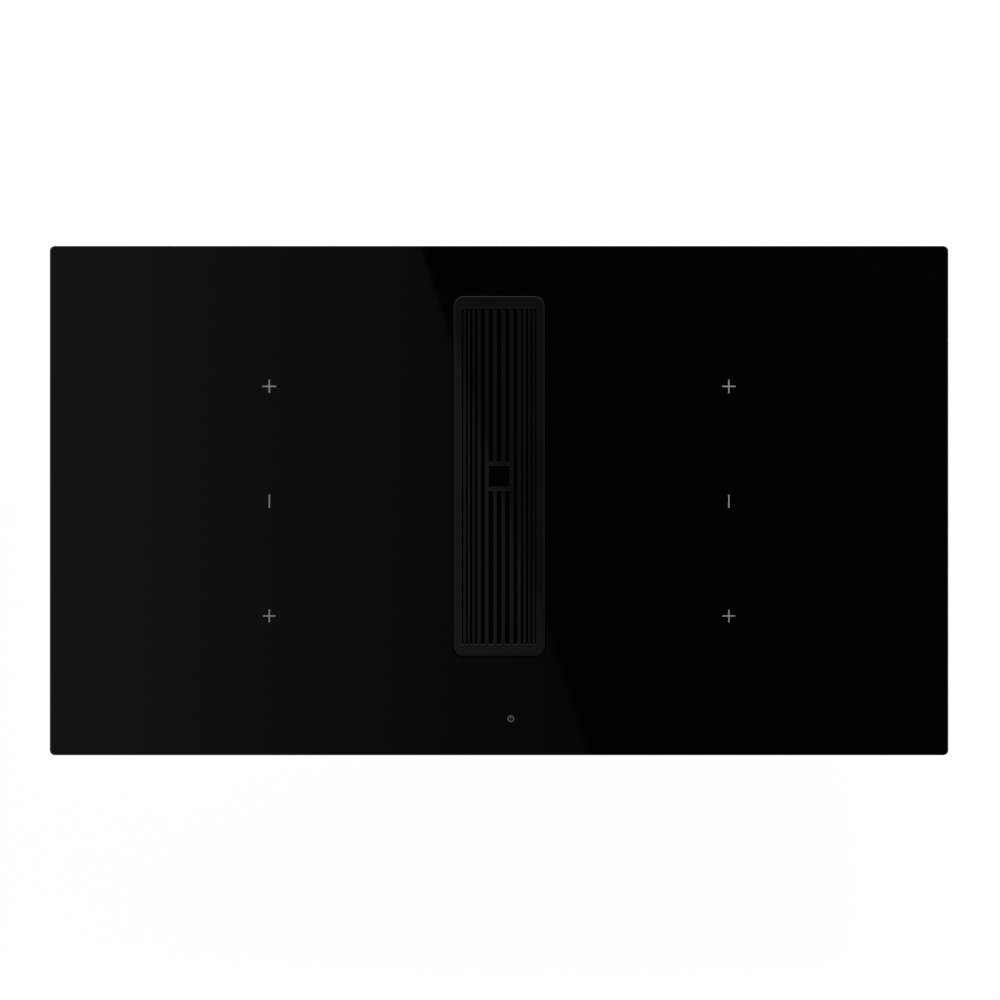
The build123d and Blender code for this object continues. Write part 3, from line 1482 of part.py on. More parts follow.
with BuildPart() as driver_lid:
    slab(at(driver_x, driver_y, driver_top), driver_width, driver_depth, driver_wall, driver_corner)
    slab(
        at(driver_x, driver_y, driver_top - driver_wall),
        driver_width - 2 * driver_wall - 2 * driver_lid_play,
        driver_depth - 2 * driver_wall - 2 * driver_lid_play,
        driver_wall,
        driver_inner_corner,
    )
    slab(
        at(driver_x, driver_y, driver_top - driver_wall),
        driver_width - 4 * driver_wall,
        driver_depth - 4 * driver_wall,
        driver_wall,
        driver_inner_corner,
        Mode.SUBTRACT,
    )
keep(driver_lid, "driver_lid")

with BuildPart() as driver_board:
    driver_floor = duct_floor + driver_wall
    slab(
        at(driver_x, driver_y, driver_floor),
        driver_width - 2 * driver_wall - 2 * driver_board_play,
        driver_depth - 2 * driver_wall - 2 * driver_board_play,
        board_thickness,
        driver_inner_corner,
    )
    for x, y, width, depth, height, corner in driver_blocks:
        slab(at(driver_x + x, driver_y + y, driver_floor), width, depth, height, corner)
    x, y, radius, height = driver_capacitor
    disc(at(driver_x + x, driver_y + y, driver_floor), radius, height)
keep(driver_board, "driver_board")

plug_x = fan_x + motor_plate_radius + plug_width / 2
cable_level = unit_top + cable_radius + screw_gap
lid_top = driver_top + driver_wall
cable_x = driver_x + 6
with BuildPart() as motor_cable:
    cable_route = (
        (cable_x, driver_y + 8, lid_top),
        (cable_x, driver_y + 8, cable_level),
        (cable_x + 4, driver_y + 30, cable_level),
        (cable_x - 1, driver_y + 55, cable_level),
        (cable_x - 12, driver_y + 78, cable_level),
        (plug_x, fan_y - 32, cable_level),
        (plug_x, fan_y - plug_depth / 2, cable_level),
    )
    tube(cable_route, cable_radius)
    slab(at(plug_x, fan_y, unit_top), plug_width, plug_depth, plug_height, plug_corner)
keep(motor_cable, "motor_cable")

# ---------------------------------------------------------------- worktop clamps
clamp_side = casing_width / 2
clamp_top = -clamp_drop - clamp_screw_length / 2
upright_middle = clamp_top - clamp_height / 2 + clamp_thickness
with BuildPart() as clamp_brackets:
    for side in (-1, 1):
        for row_side in (-1, 1):
            spot_y = row_side * clamp_spacing_y / 2
            upright = facing(side * clamp_side, spot_y, upright_middle, (side, 0, 0))
            slab(upright, clamp_width, clamp_height, clamp_thickness)
            arm_x = side * (clamp_side + clamp_reach / 2)
            slab(at(arm_x, spot_y, clamp_top), clamp_reach, clamp_width, clamp_thickness)
            screw_x = side * (clamp_side + clamp_reach - clamp_screw_inset)
            disc(at(screw_x, spot_y, clamp_top), clamp_screw_radius + clamp_nut_wall, 2 * clamp_thickness)
            screw_hole = clamp_screw_radius + screw_gap
            disc(at(screw_x, spot_y, clamp_top), screw_hole, 2 * clamp_thickness, Mode.SUBTRACT)
keep(clamp_brackets, "clamp_brackets")

with BuildPart() as clamp_screws:
    for side in (-1, 1):
        for row_side in (-1, 1):
            screw_x = side * (clamp_side + clamp_reach - clamp_screw_inset)
            spot = at(screw_x, row_side * clamp_spacing_y / 2, -clamp_drop)
            disc(spot, clamp_screw_radius, -clamp_screw_length)
            head = at(screw_x, row_side * clamp_spacing_y / 2, -clamp_drop - clamp_screw_length)
            disc(head, clamp_screw_head, -screw_head_height)
keep(clamp_screws, "clamp_screws")

# ---------------------------------------------------------------- screws
with BuildPart() as unit_screws:
    for x, y in hanger_spots:
        self_tapping_screw(x, y, floor_top, 1)
    for x, y, _ in ear_spots:
        self_tapping_screw(x, y, plate_underside - unit_wall, -1)
keep(unit_screws, "unit_screws")
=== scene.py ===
import json
import math

import bmesh
import bpy
from mathutils import Matrix, Vector


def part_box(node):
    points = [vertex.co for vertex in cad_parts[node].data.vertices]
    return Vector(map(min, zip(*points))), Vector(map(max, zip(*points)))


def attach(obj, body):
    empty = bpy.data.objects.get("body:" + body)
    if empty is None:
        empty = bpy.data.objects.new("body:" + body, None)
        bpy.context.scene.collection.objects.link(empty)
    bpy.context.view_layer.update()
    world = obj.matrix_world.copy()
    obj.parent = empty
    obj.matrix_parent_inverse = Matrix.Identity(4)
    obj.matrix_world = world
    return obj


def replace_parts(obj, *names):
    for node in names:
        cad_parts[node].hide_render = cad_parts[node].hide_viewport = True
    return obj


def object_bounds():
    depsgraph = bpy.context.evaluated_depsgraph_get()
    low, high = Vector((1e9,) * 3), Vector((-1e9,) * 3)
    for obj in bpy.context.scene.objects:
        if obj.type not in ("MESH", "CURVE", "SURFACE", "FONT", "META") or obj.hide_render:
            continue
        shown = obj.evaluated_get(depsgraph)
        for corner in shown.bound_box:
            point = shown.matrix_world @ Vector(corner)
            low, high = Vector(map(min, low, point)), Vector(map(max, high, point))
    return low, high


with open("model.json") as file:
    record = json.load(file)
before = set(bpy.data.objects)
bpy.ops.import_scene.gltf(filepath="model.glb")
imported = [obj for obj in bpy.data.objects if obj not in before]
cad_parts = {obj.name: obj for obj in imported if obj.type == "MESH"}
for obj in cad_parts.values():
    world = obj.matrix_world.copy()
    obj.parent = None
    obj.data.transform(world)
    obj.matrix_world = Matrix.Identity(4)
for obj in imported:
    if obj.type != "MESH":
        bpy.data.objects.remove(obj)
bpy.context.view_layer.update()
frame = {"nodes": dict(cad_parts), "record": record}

nodes = frame["nodes"]
mm = 0.001
print("frame loaded:", len(nodes), "nodes")


# shader helpers: each adds nodes to a material's tree and hands back an output
def newMaterial(name):
    material = bpy.data.materials.new(name)
    material.use_nodes = True
    tree = material.node_tree
    return material, tree, tree.nodes["Principled BSDF"]


def coordsOf(tree, stretch=(1, 1, 1), turn=(0, 0, 0)):
    # object coordinates in metres, stretched or turned
    source = tree.nodes.new("ShaderNodeTexCoord")
    mapping = tree.nodes.new("ShaderNodeMapping")
    mapping.inputs["Scale"].default_value = stretch
    mapping.inputs["Rotation"].default_value = turn
    tree.links.new(source.outputs["Object"], mapping.inputs["Vector"])
    return mapping.outputs["Vector"]


def noiseOf(tree, coords, patch, detail=3.0):
    # patch is the width of one blotch, in metres
    noise = tree.nodes.new("ShaderNodeTexNoise")
    noise.inputs["Scale"].default_value = 1 / patch
    noise.inputs["Detail"].default_value = detail
    tree.links.new(coords, noise.inputs["Vector"])
    return noise.outputs["Fac"]


def valueBetween(tree, source, low, high, start=0.3, stop=0.7):
    spread = tree.nodes.new("ShaderNodeMapRange")
    for name, value in (("From Min", start), ("From Max", stop), ("To Min", low), ("To Max", high)):
        if isinstance(value, bpy.types.NodeSocket):
            tree.links.new(value, spread.inputs[name])
        else:
            spread.inputs[name].default_value = value
    tree.links.new(source, spread.inputs["Value"])
    return spread.outputs["Result"]


def colourBetween(tree, source, low, high, start=0.3, stop=0.7):
    ramp = tree.nodes.new("ShaderNodeValToRGB")
    ramp.color_ramp.elements[0].position = start
    ramp.color_ramp.elements[1].position = stop
    ramp.color_ramp.elements[0].color = (*low, 1)
    ramp.color_ramp.elements[1].color = (*high, 1)
    tree.links.new(source, ramp.inputs["Fac"])
    return ramp.outputs["Color"]


def addValues(tree, first, second, share):
    # first + second * share
    both = tree.nodes.new("ShaderNodeMath")
    both.operation = "MULTIPLY_ADD"
    both.inputs[1].default_value = share
    tree.links.new(second, both.inputs[0])
    tree.links.new(first, both.inputs[2])
    return both.outputs[0]


def addBump(tree, shader, height, depth, strength=0.6):
    # depth is the height of the relief, in metres
    bump = tree.nodes.new("ShaderNodeBump")
    bump.inputs["Strength"].default_value = strength
    bump.inputs["Distance"].default_value = depth
    tree.links.new(height, bump.inputs["Height"])
    tree.links.new(bump.outputs["Normal"], shader.inputs["Normal"])


def shaded(colour, share):
    return tuple(channel * share for channel in colour)


# finishes: one function for each kind of surface, one dict of values for each finish
finishes = {}

glassLook = {"colour": (0.00045, 0.00045, 0.0005), "roughness": (0.012, 0.03), "ior": 1.52, "wipe": 0.11}


def blackGlass():
    # polished glass-ceramic: a trace of wiping in the gloss, fine specks in the body
    material, tree, shader = newMaterial("blackGlass")
    coords = coordsOf(tree)
    wipe = noiseOf(tree, coordsOf(tree, (1, 3, 1), (0, 0, 0.4)), glassLook["wipe"], 5)
    specks = noiseOf(tree, coords, 0.5 * mm, 1)
    tree.links.new(valueBetween(tree, wipe, *glassLook["roughness"]), shader.inputs["Roughness"])
    dark, light = shaded(glassLook["colour"], 0.8), shaded(glassLook["colour"], 1.4)
    tree.links.new(colourBetween(tree, specks, dark, light), shader.inputs["Base Color"])
    shader.inputs["IOR"].default_value = glassLook["ior"]
    return material


enamelLook = {"colour": (0.0045, 0.0045, 0.0047), "roughness": (0.02, 0.035), "ior": 1.78, "peel": 0.9 * mm}


def grilleEnamel():
    # glossy black enamel: slight orange peel over a fine grain
    material, tree, shader = newMaterial("grilleEnamel")
    coords = coordsOf(tree)
    peel = noiseOf(tree, coords, enamelLook["peel"], 2)
    grain = noiseOf(tree, coords, 0.12 * mm, 2)
    cloud = noiseOf(tree, coords, 25 * mm, 4)
    dark, light = shaded(enamelLook["colour"], 0.88), shaded(enamelLook["colour"], 1.12)
    tree.links.new(colourBetween(tree, cloud, dark, light), shader.inputs["Base Color"])
    tree.links.new(valueBetween(tree, cloud, *enamelLook["roughness"]), shader.inputs["Roughness"])
    addBump(tree, shader, addValues(tree, peel, grain, 0.3), 0.0004 * mm, 0.35)
    shader.inputs["IOR"].default_value = enamelLook["ior"]
    return material


plasticLooks = {
    # the filter handle's black plastic made darker than it is: painted shade in the finger hole
    "handle_painted_shade": {"colour": (0.0022, 0.0022, 0.0024), "roughness": (0.5, 0.62), "grain": 0.45 * mm},
    "black_plastic": {"colour": (0.014, 0.014, 0.0148), "roughness": (0.36, 0.5), "grain": 0.45 * mm},
    "grey_plastic": {"colour": (0.2, 0.208, 0.214), "roughness": (0.38, 0.5), "grain": 0.4 * mm},
    "white_plastic": {"colour": (0.72, 0.72, 0.68), "roughness": (0.3, 0.42), "grain": 0.35 * mm},
    "component_black": {"colour": (0.016, 0.016, 0.017), "roughness": (0.22, 0.34), "grain": 0.2 * mm},
    "component_yellow": {"colour": (0.6, 0.4, 0.06), "roughness": (0.2, 0.3), "grain": 0.3 * mm},
}


def mouldedPlastic(name, look):
    # spark-eroded grain, flow clouds and a little dust in the gloss
    material, tree, shader = newMaterial(name)
    coords = coordsOf(tree)
    grain = noiseOf(tree, coords, look["grain"], 2)
    flow = noiseOf(tree, coordsOf(tree, (1, 0.35, 1)), 60 * mm, 5)
    dark, light = shaded(look["colour"], 0.84), shaded(look["colour"], 1.16)
    tree.links.new(colourBetween(tree, addValues(tree, flow, grain, 0.25), dark, light, 0.35, 0.85),
                   shader.inputs["Base Color"])
    tree.links.new(valueBetween(tree, flow, *look["roughness"]), shader.inputs["Roughness"])
    addBump(tree, shader, grain, 0.05 * mm)
    shader.inputs["IOR"].default_value = 1.5
    return material


metalLooks = {
    "steel_screws": {"colour": (0.62, 0.61, 0.57), "roughness": (0.22, 0.36), "stretch": (1, 1, 4)},
    "spring_steel": {"colour": (0.42, 0.42, 0.42), "roughness": (0.25, 0.4), "stretch": (1, 1, 1)},
    "aluminium_plate": {"colour": (0.68, 0.69, 0.7), "roughness": (0.28, 0.42), "stretch": (0.06, 1, 1)},
    "aluminium_fins": {"colour": (0.6, 0.61, 0.62), "roughness": (0.3, 0.45), "stretch": (0.04, 1, 1)},
    "motor_steel": {"colour": (0.46, 0.47, 0.48), "roughness": (0.24, 0.4), "stretch": (1, 1, 0.08)},
    "lamination": {"colour": (0.16, 0.16, 0.17), "roughness": (0.4, 0.6), "stretch": (0.1, 0.1, 3)},
    "bearing_bronze": {"colour": (0.5, 0.34, 0.16), "roughness": (0.35, 0.5), "stretch": (1, 1, 1)},
    "copper_litz": {"colour": (0.52, 0.2, 0.085), "roughness": (0.26, 0.42), "stretch": (1, 1, 0.3)},
}


def drawnMetal(name, look):
    # rolling or drawing lines along one axis, with duller clouds
    material, tree, shader = newMaterial(name)
    lines = noiseOf(tree, coordsOf(tree, look["stretch"]), 0.5 * mm, 4)
    cloud = noiseOf(tree, coordsOf(tree), 14 * mm, 4)
    dark, light = shaded(look["colour"], 0.82), shaded(look["colour"], 1.1)
    tree.links.new(colourBetween(tree, addValues(tree, cloud, lines, 0.5), dark, light, 0.5, 1.0),
                   shader.inputs["Base Color"])
    tree.links.new(valueBetween(tree, lines, *look["roughness"]), shader.inputs["Roughness"])
    addBump(tree, shader, lines, 0.01 * mm, 0.4)
    shader.inputs["Metallic"].default_value = 1
    return material


zincLook = {"dull": (0.4, 0.42, 0.44), "bright": (0.62, 0.64, 0.66), "roughness": (0.28, 0.46),
            "spangle": 9 * mm}


def zincSheet():
    # hot-dip spangle: each crystal has its own tone and gloss
    material, tree, shader = newMaterial("zincSheet")
    coords = coordsOf(tree)
    crystals = tree.nodes.new("ShaderNodeTexVoronoi")
    crystals.inputs["Scale"].default_value = 1 / zincLook["spangle"]
    crystals.inputs["Randomness"].default_value = 1
    tree.links.new(coords, crystals.inputs["Vector"])
    tone = tree.nodes.new("ShaderNodeSeparateColor")
    tree.links.new(crystals.outputs["Color"], tone.inputs["Color"])
    frost = noiseOf(tree, coords, 1.2 * mm, 3)
    both = addValues(tree, tone.outputs[0], frost, 0.4)
    tree.links.new(colourBetween(tree, both, zincLook["dull"], zincLook["bright"], 0.1, 1.3),
                   shader.inputs["Base Color"])
    gloss = valueBetween(tree, tone.outputs[1], *zincLook["roughness"], 0, 1)
    tree.links.new(gloss, shader.inputs["Roughness"])
    addBump(tree, shader, addValues(tree, frost, tone.outputs[0], 0.5), 0.012 * mm, 0.35)
    shader.inputs["Metallic"].default_value = 1
    return material


softLooks = {
    "rubber": {"colour": (0.016, 0.016, 0.016),
               "roughness": (0.55, 0.7), "cell": 0.5 * mm, "depth": 0.02 * mm},
    "foam_tape": {"colour": (0.022, 0.022, 0.023),
                  "roughness": (0.8, 0.95), "cell": 0.7 * mm, "depth": 0.18 * mm},
    "silicone": {"colour": (0.3, 0.31, 0.31),
                 "roughness": (0.35, 0.5), "cell": 4 * mm, "depth": 0.1 * mm},
    "cable_sheath": {"colour": (0.03, 0.03, 0.031),
                     "roughness": (0.42, 0.55), "cell": 0.6 * mm, "depth": 0.02 * mm},
}


def softSkin(name, look):
    # rubber, foam or sealant: open cells or smears, with broad clouds of tone and darker pits in the cells
    material, tree, shader = newMaterial(name)
    coords = coordsOf(tree)
    cells = tree.nodes.new("ShaderNodeTexVoronoi")
    cells.inputs["Scale"].default_value = 1 / look["cell"]
    tree.links.new(coords, cells.inputs["Vector"])
    dust = noiseOf(tree, coords, 20 * mm, 5)
    dark, light = shaded(look["colour"], 0.75), shaded(look["colour"], 1.25)
    both = addValues(tree, dust, cells.outputs["Distance"], 0.3)
    tree.links.new(colourBetween(tree, both, dark, light, 0.4, 0.9), shader.inputs["Base Color"])
    tree.links.new(valueBetween(tree, dust, *look["roughness"]), shader.inputs["Roughness"])
    addBump(tree, shader, cells.outputs["Distance"], look["depth"])
    return material


stoneLooks = {
    "ferrite": {"colour": (0.045, 0.045, 0.05),
                "roughness": (0.45, 0.6), "fleck": 0.6 * mm, "contrast": 0.3},
    "mica": {"colour": (0.5, 0.44, 0.33),
             "roughness": (0.35, 0.55), "fleck": 1.6 * mm, "contrast": 0.22},
    # a real black coat on the filter, made near black as painted shade under the grille
    "filter_black": {"colour": (0.006, 0.006, 0.0063),
                     "roughness": (0.4, 0.55), "fleck": 0.3 * mm, "contrast": 0.15},
}


def fleckedSkin(name, look):
    # pressed ferrite, mica paper and the filter's black coat, whose near-black tone is partly painted shade
    # under the grille: flecks with their own gloss
    material, tree, shader = newMaterial(name)
    coords = coordsOf(tree)
    flecks = noiseOf(tree, coords, look["fleck"], 4)
    cloud = noiseOf(tree, coords, 30 * mm, 3)
    dark, light = shaded(look["colour"], 1 - look["contrast"]), shaded(look["colour"], 1 + look["contrast"])
    tree.links.new(colourBetween(tree, addValues(tree, flecks, cloud, 0.4), dark, light, 0.5, 0.9),
                   shader.inputs["Base Color"])
    tree.links.new(valueBetween(tree, flecks, *look["roughness"]), shader.inputs["Roughness"])
    addBump(tree, shader, flecks, 0.02 * mm, 0.4)
    return material


boardLook = {"mask": (0.012, 0.085, 0.03), "track": (0.03, 0.17, 0.06), "tracks": 3 * mm}


def circuitBoard():
    # green solder mask over copper tracks, a little raised
    material, tree, shader = newMaterial("circuitBoard")
    tracks = tree.nodes.new("ShaderNodeTexBrick")
    for name, value in (("Color1", (1, 1, 1, 1)), ("Color2", (0.8, 0.8, 0.8, 1)), ("Mortar", (0, 0, 0, 1)),
                        ("Scale", 1 / boardLook["tracks"]), ("Mortar Size", 0.06), ("Brick Width", 3.1),
                        ("Row Height", 0.9)):
        tracks.inputs[name].default_value = value
    tree.links.new(coordsOf(tree), tracks.inputs["Vector"])
    cloud = noiseOf(tree, coordsOf(tree), 8 * mm, 4)
    both = addValues(tree, tracks.outputs["Color"], cloud, 0.4)
    tree.links.new(colourBetween(tree, both, boardLook["mask"], boardLook["track"], 0.1, 1.2),
                   shader.inputs["Base Color"])
    tree.links.new(valueBetween(tree, cloud, 0.2, 0.32), shader.inputs["Roughness"])
    addBump(tree, shader, tracks.outputs["Color"], 0.04 * mm)
    return material


inkLook = {"colour": (0.185, 0.185, 0.19), "roughness": (0.3, 0.42)}


def printedInk(name, share):
    # screen-printed enamel: a mesh of pinholes from the screen
    material, tree, shader = newMaterial(name)
    screen = noiseOf(tree, coordsOf(tree), 0.25 * mm, 1)
    dark, light = shaded(inkLook["colour"], 0.92 * share), shaded(inkLook["colour"], 1.08 * share)
    tree.links.new(colourBetween(tree, screen, dark, light), shader.inputs["Base Color"])
    tree.links.new(valueBetween(tree, screen, *inkLook["roughness"]), shader.inputs["Roughness"])
    addBump(tree, shader, screen, 0.003 * mm, 0.3)
    return material


finishes["black_glass"] = blackGlass()
finishes["grille_enamel"] = grilleEnamel()
finishes["zinc_sheet"] = zincSheet()
finishes["circuit_board"] = circuitBoard()
families = ((mouldedPlastic, plasticLooks), (drawnMetal, metalLooks), (softSkin, softLooks),
            (fleckedSkin, stoneLooks))
for makeFinish, looks in families:
    for slotName, look in looks.items():
        finishes[slotName] = makeFinish(slotName, look)

for part in frame["record"]["subparts"]:
    node = nodes[part["node"]]
    node.data.materials.clear()
    node.data.materials.append(finishes[part["material_slot"]])
# the handle takes a darker black than its own plastic: painted shade in the finger hole
nodes["filter_handle"].data.materials[0] = finishes["handle_painted_shade"]
print("finishes:", len(finishes))


# mesh helpers
def newPiece(name, body, slotName, shape, smooth=None, material=None):
    # closes the mesh up, gives it its finish and lets it ride on a CAD body
    bmesh.ops.remove_doubles(shape, verts=shape.verts, dist=0.0015 * mm)
    bmesh.ops.recalc_face_normals(shape, faces=shape.faces)
    data = bpy.data.meshes.new(name)
    shape.to_mesh(data)
    shape.free()
    data.materials.append(material or finishes[slotName])
    if smooth:
        data.polygons.foreach_set("use_smooth", [True] * len(data.polygons))
        data.set_sharp_from_angle(angle=math.radians(smooth))
    piece = bpy.data.objects.new(name, data)
    bpy.context.scene.collection.objects.link(piece)
    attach(piece, body)
    return piece


def newVerts(made):
    return [item for item in made["geom"] if isinstance(item, bmesh.types.BMVert)]


def block(shape, centre, size, edge=0.0, segments=2):
    # bar with rounded edges; sizes in millimetres
    made = bmesh.ops.create_cube(shape, size=1)["verts"]
    bmesh.ops.scale(shape, vec=Vector(size) * mm, verts=made)
    bmesh.ops.translate(shape, vec=Vector(centre) * mm, verts=made)
    if edge:
        edges = list({line for vert in made for line in vert.link_edges})
        bmesh.ops.bevel(shape, geom=edges, offset=edge * mm, offset_type="OFFSET", affect="EDGES",
                        segments=segments, profile=0.5, material=-1)


def lathe(shape, profile, steps=32):
    # turns (radius, height) points about Z, in millimetres; the caller places the result
    verts = [shape.verts.new((radius * mm, 0, height * mm)) for radius, height in profile]
    edges = [shape.edges.new(pair) for pair in zip(verts, verts[1:])]
    bmesh.ops.spin(shape, geom=verts + edges, cent=(0, 0, 0), axis=(0, 0, 1), dvec=(0, 0, 0),
                   angle=2 * math.pi, steps=steps, use_merge=True, use_duplicate=False)


# printed marks on the glass
markLook = {"ink": 0.02, "stroke": 1.35, "plusses": ((114.4, 13.5), (-115.5, 12.8)), "across": 230.1,
            "barSpan": 13.2, "middle": -0.6, "share": 1.12}
switchLook = {"x": 11.8, "y": -218.4, "ring": 3.35, "stroke": 1.15, "barWidth": 0.9, "barLength": 3.6,
              "barRise": 0.008, "steps": 48, "share": 0.48}
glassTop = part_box("glass_plate")[1].z


def inkedRegion(shape, faces, thickness):
    # lifts flat faces off the glass by the thickness of the print
    lifted = bmesh.ops.extrude_face_region(shape, geom=faces, use_keep_orig=True)
    bmesh.ops.translate(shape, vec=(0, 0, thickness * mm), verts=newVerts(lifted))


def crossFaces(shape, x, y, span, stroke):
    # grows four arms out of one small square
    middle = Vector((x, y, glassTop / mm)) * mm
    square = bmesh.ops.create_grid(shape, x_segments=1, y_segments=1, size=stroke * mm / 2)["verts"]
    bmesh.ops.translate(shape, vec=middle, verts=square)
    face = square[0].link_faces[0]
    faces = [face]
    for edge in list(face.edges):
        outward = ((edge.verts[0].co + edge.verts[1].co) / 2 - middle).normalized()
        arm = bmesh.ops.extrude_edge_only(shape, edges=[edge])
        bmesh.ops.translate(shape, vec=outward * (span - stroke) * mm / 2, verts=newVerts(arm))
        faces += [item for item in arm["geom"] if isinstance(item, bmesh.types.BMFace)]
    return faces


marks = bmesh.new()
for side in (-1, 1):
    for row, span in markLook["plusses"]:
        faces = crossFaces(marks, side * markLook["across"], row, span, markLook["stroke"])
        inkedRegion(marks, faces, markLook["ink"])
    place = (side * markLook["across"], markLook["middle"], glassTop / mm + markLook["ink"] / 2)
    block(marks, place, (markLook["stroke"], markLook["barSpan"], markLook["ink"]))
brightInk = printedInk("printedInk", markLook["share"])
newPiece("cookingMarks", "chassis", "black_glass", marks, material=brightInk)

switchMark = bmesh.new()
rings = []
for radius in (switchLook["ring"], switchLook["ring"] - switchLook["stroke"]):
    ring = bmesh.ops.create_circle(switchMark, cap_ends=False, segments=switchLook["steps"],
                                   radius=radius * mm)["verts"]
    rings += list({line for vert in ring for line in vert.link_edges})
bmesh.ops.bridge_loops(switchMark, edges=rings)
bmesh.ops.translate(switchMark, verts=switchMark.verts,
                    vec=Vector((switchLook["x"], switchLook["y"], glassTop / mm)) * mm)
inkedRegion(switchMark, list(switchMark.faces), markLook["ink"])
barY = switchLook["y"] + switchLook["ring"] - switchLook["barLength"] / 2
barHeight = markLook["ink"] + switchLook["barRise"]
block(switchMark, (switchLook["x"], barY, glassTop / mm + barHeight / 2),
      (switchLook["barWidth"], switchLook["barLength"], barHeight))
dimInk = printedInk("dimInk", switchLook["share"])
newPiece("switchMark", "chassis", "black_glass", switchMark, material=dimInk)
print("marks printed")


# screws with six-lobe heads and rolled threads
unitScrewLook = {"head": 3.4, "rise": 2.0, "core": 1.35, "crest": 1.7, "length": 8, "pitch": 1.2,
                 "recess": 1.7, "hangerSeat": -53.2, "earSeat": -154.5,
                 "hangers": ((264.5, -36.33), (264.5, 193), (83, 193), (-62, -98.17), (-62, 147.17)),
                 "ears": ((-65, -67.5), (-65, 116.5), (288, 0), (288, 151))}
clampScrewLook = {"head": 4.75, "rise": 2.0, "core": 2.05, "crest": 2.5, "length": 22, "pitch": 1.0,
                  "recess": 2.2, "x": 437, "y": 150, "seat": -46}
casingScrewLook = {"head": 2.9, "rise": 1.5, "core": 1.1, "crest": 1.35, "length": 3, "pitch": 1.0,
                   "recess": 1.4, "level": -10, "wallX": 424, "wallY": 234, "front": (-400, -60, 60, 400),
                   "rear": (-400, -150, 150, 400), "sides": (-200, -70, 70, 200)}
screwForm = {"steps": 24, "lobes": 6, "lobeDepth": 0.13, "threadSteps": 16, "threadRoot": 0.15,
             "threadStart": 1.2, "threadEnd": 0.3, "runOut": 0.8}


def headProfile(look):
    # radius and height from the middle of the recess over the head and down to the tip
    head, rise, core, recess = look["head"], look["rise"], look["core"], look["recess"]
    return [(0, 0.4 * rise), (recess, 0.4 * rise), (recess, 0.99 * rise), (0.8 * head, rise),
            (0.95 * head, 0.7 * rise), (head, 0.35 * rise), (head, 0), (core, 0),
            (core, -look["length"] + core), (0, -look["length"])]


def screw(shape, place, axis, look):
    # head's seat at the place, head along the axis, thread away from it
    before = set(shape.verts)
    lathe(shape, headProfile(look), screwForm["steps"])
    for vert in set(shape.verts) - before:
        flat = Vector((vert.co.x, vert.co.y))
        if abs(flat.length - look["recess"] * mm) < 0.01 * mm and vert.co.z > 0:
            around = math.atan2(flat.y, flat.x)
            squeeze = 1 - screwForm["lobeDepth"] * (1 + math.cos(screwForm["lobes"] * around))
            vert.co.x *= squeeze
            vert.co.y *= squeeze
    low = -look["length"] + screwForm["threadStart"] * look["core"]
    turns = (-screwForm["threadEnd"] - low) / look["pitch"] - screwForm["runOut"]
    root = look["core"] - screwForm["threadRoot"]
    points = [(root, low), (look["crest"], low + 0.35 * look["pitch"]), (root, low + 0.7 * look["pitch"])]
    corner = [shape.verts.new((radius * mm, 0, height * mm)) for radius, height in points]
    startFace = shape.faces.new(corner)
    bmesh.ops.spin(shape, geom=[startFace, *startFace.edges, *corner], cent=(0, 0, 0), axis=(0, 0, 1),
                   dvec=(0, 0, look["pitch"] * mm / screwForm["threadSteps"]), angle=turns * 2 * math.pi,
                   steps=int(turns * screwForm["threadSteps"]), use_merge=False, use_duplicate=False)
    made = [vert for vert in shape.verts if vert not in before]
    turn = Vector((0, 0, 1)).rotation_difference(Vector(axis)).to_matrix().to_4x4()
    bmesh.ops.transform(shape, matrix=Matrix.Translation(Vector(place) * mm) @ turn, verts=made)


unitScrews = bmesh.new()
for x, y in unitScrewLook["hangers"]:
    screw(unitScrews, (x, y, unitScrewLook["hangerSeat"]), (0, 0, 1), unitScrewLook)
for x, y in unitScrewLook["ears"]:
    screw(unitScrews, (x, y, unitScrewLook["earSeat"]), (0, 0, -1), unitScrewLook)
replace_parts(newPiece("unitScrews", "chassis", "steel_screws", unitScrews, 35), "unit_screws")

clampScrews = bmesh.new()
for x in (-clampScrewLook["x"], clampScrewLook["x"]):
    for y in (-clampScrewLook["y"], clampScrewLook["y"]):
        screw(clampScrews, (x, y, clampScrewLook["seat"]), (0, 0, -1), clampScrewLook)
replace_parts(newPiece("clampScrews", "chassis", "steel_screws", clampScrews, 35), "clamp_screws")

casingScrews = bmesh.new()
for x in casingScrewLook["front"]:
    screw(casingScrews, (x, -casingScrewLook["wallY"], casingScrewLook["level"]), (0, -1, 0), casingScrewLook)
for x in casingScrewLook["rear"]:
    screw(casingScrews, (x, casingScrewLook["wallY"], casingScrewLook["level"]), (0, 1, 0), casingScrewLook)
for side in (-1, 1):
    for y in casingScrewLook["sides"]:
        place = (side * casingScrewLook["wallX"], y, casingScrewLook["level"])
        screw(casingScrews, place, (side, 0, 0), casingScrewLook)
newPiece("casingScrews", "chassis", "steel_screws", casingScrews, 35)
print("screws driven")


# sealing tape, four strips butted at the corners
tapeLook = {"width": 11, "thick": 2, "halfX": 448.5, "halfY": 253.5, "edge": 0.4, "joint": 0.15}
tape = bmesh.new()
inset = tapeLook["width"] / 2
shortened = tapeLook["halfX"] - tapeLook["width"] - tapeLook["joint"]
for side in (-1, 1):
    block(tape, (side * (tapeLook["halfX"] - inset), 0, tapeLook["thick"] / 2),
          (tapeLook["width"], 2 * tapeLook["halfY"], tapeLook["thick"]), tapeLook["edge"], 3)
    block(tape, (0, side * (tapeLook["halfY"] - inset), tapeLook["thick"] / 2),
          (2 * shortened, tapeLook["width"], tapeLook["thick"]), tapeLook["edge"], 3)
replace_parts(newPiece("sealTape", "chassis", "foam_tape", tape, 40), "worktop_seal")


# grease filter's expanded mesh
meshLook = {"length": 332, "height": 70.66, "cell": 4.8, "flatten": 0.62, "strand": 0.55, "rim": 2.2,
            "thick": 1.0, "corner": 1.5, "lift": 0.05, "across": 32.71, "y": 24.5, "level": -47,
            "slope": 8.04}


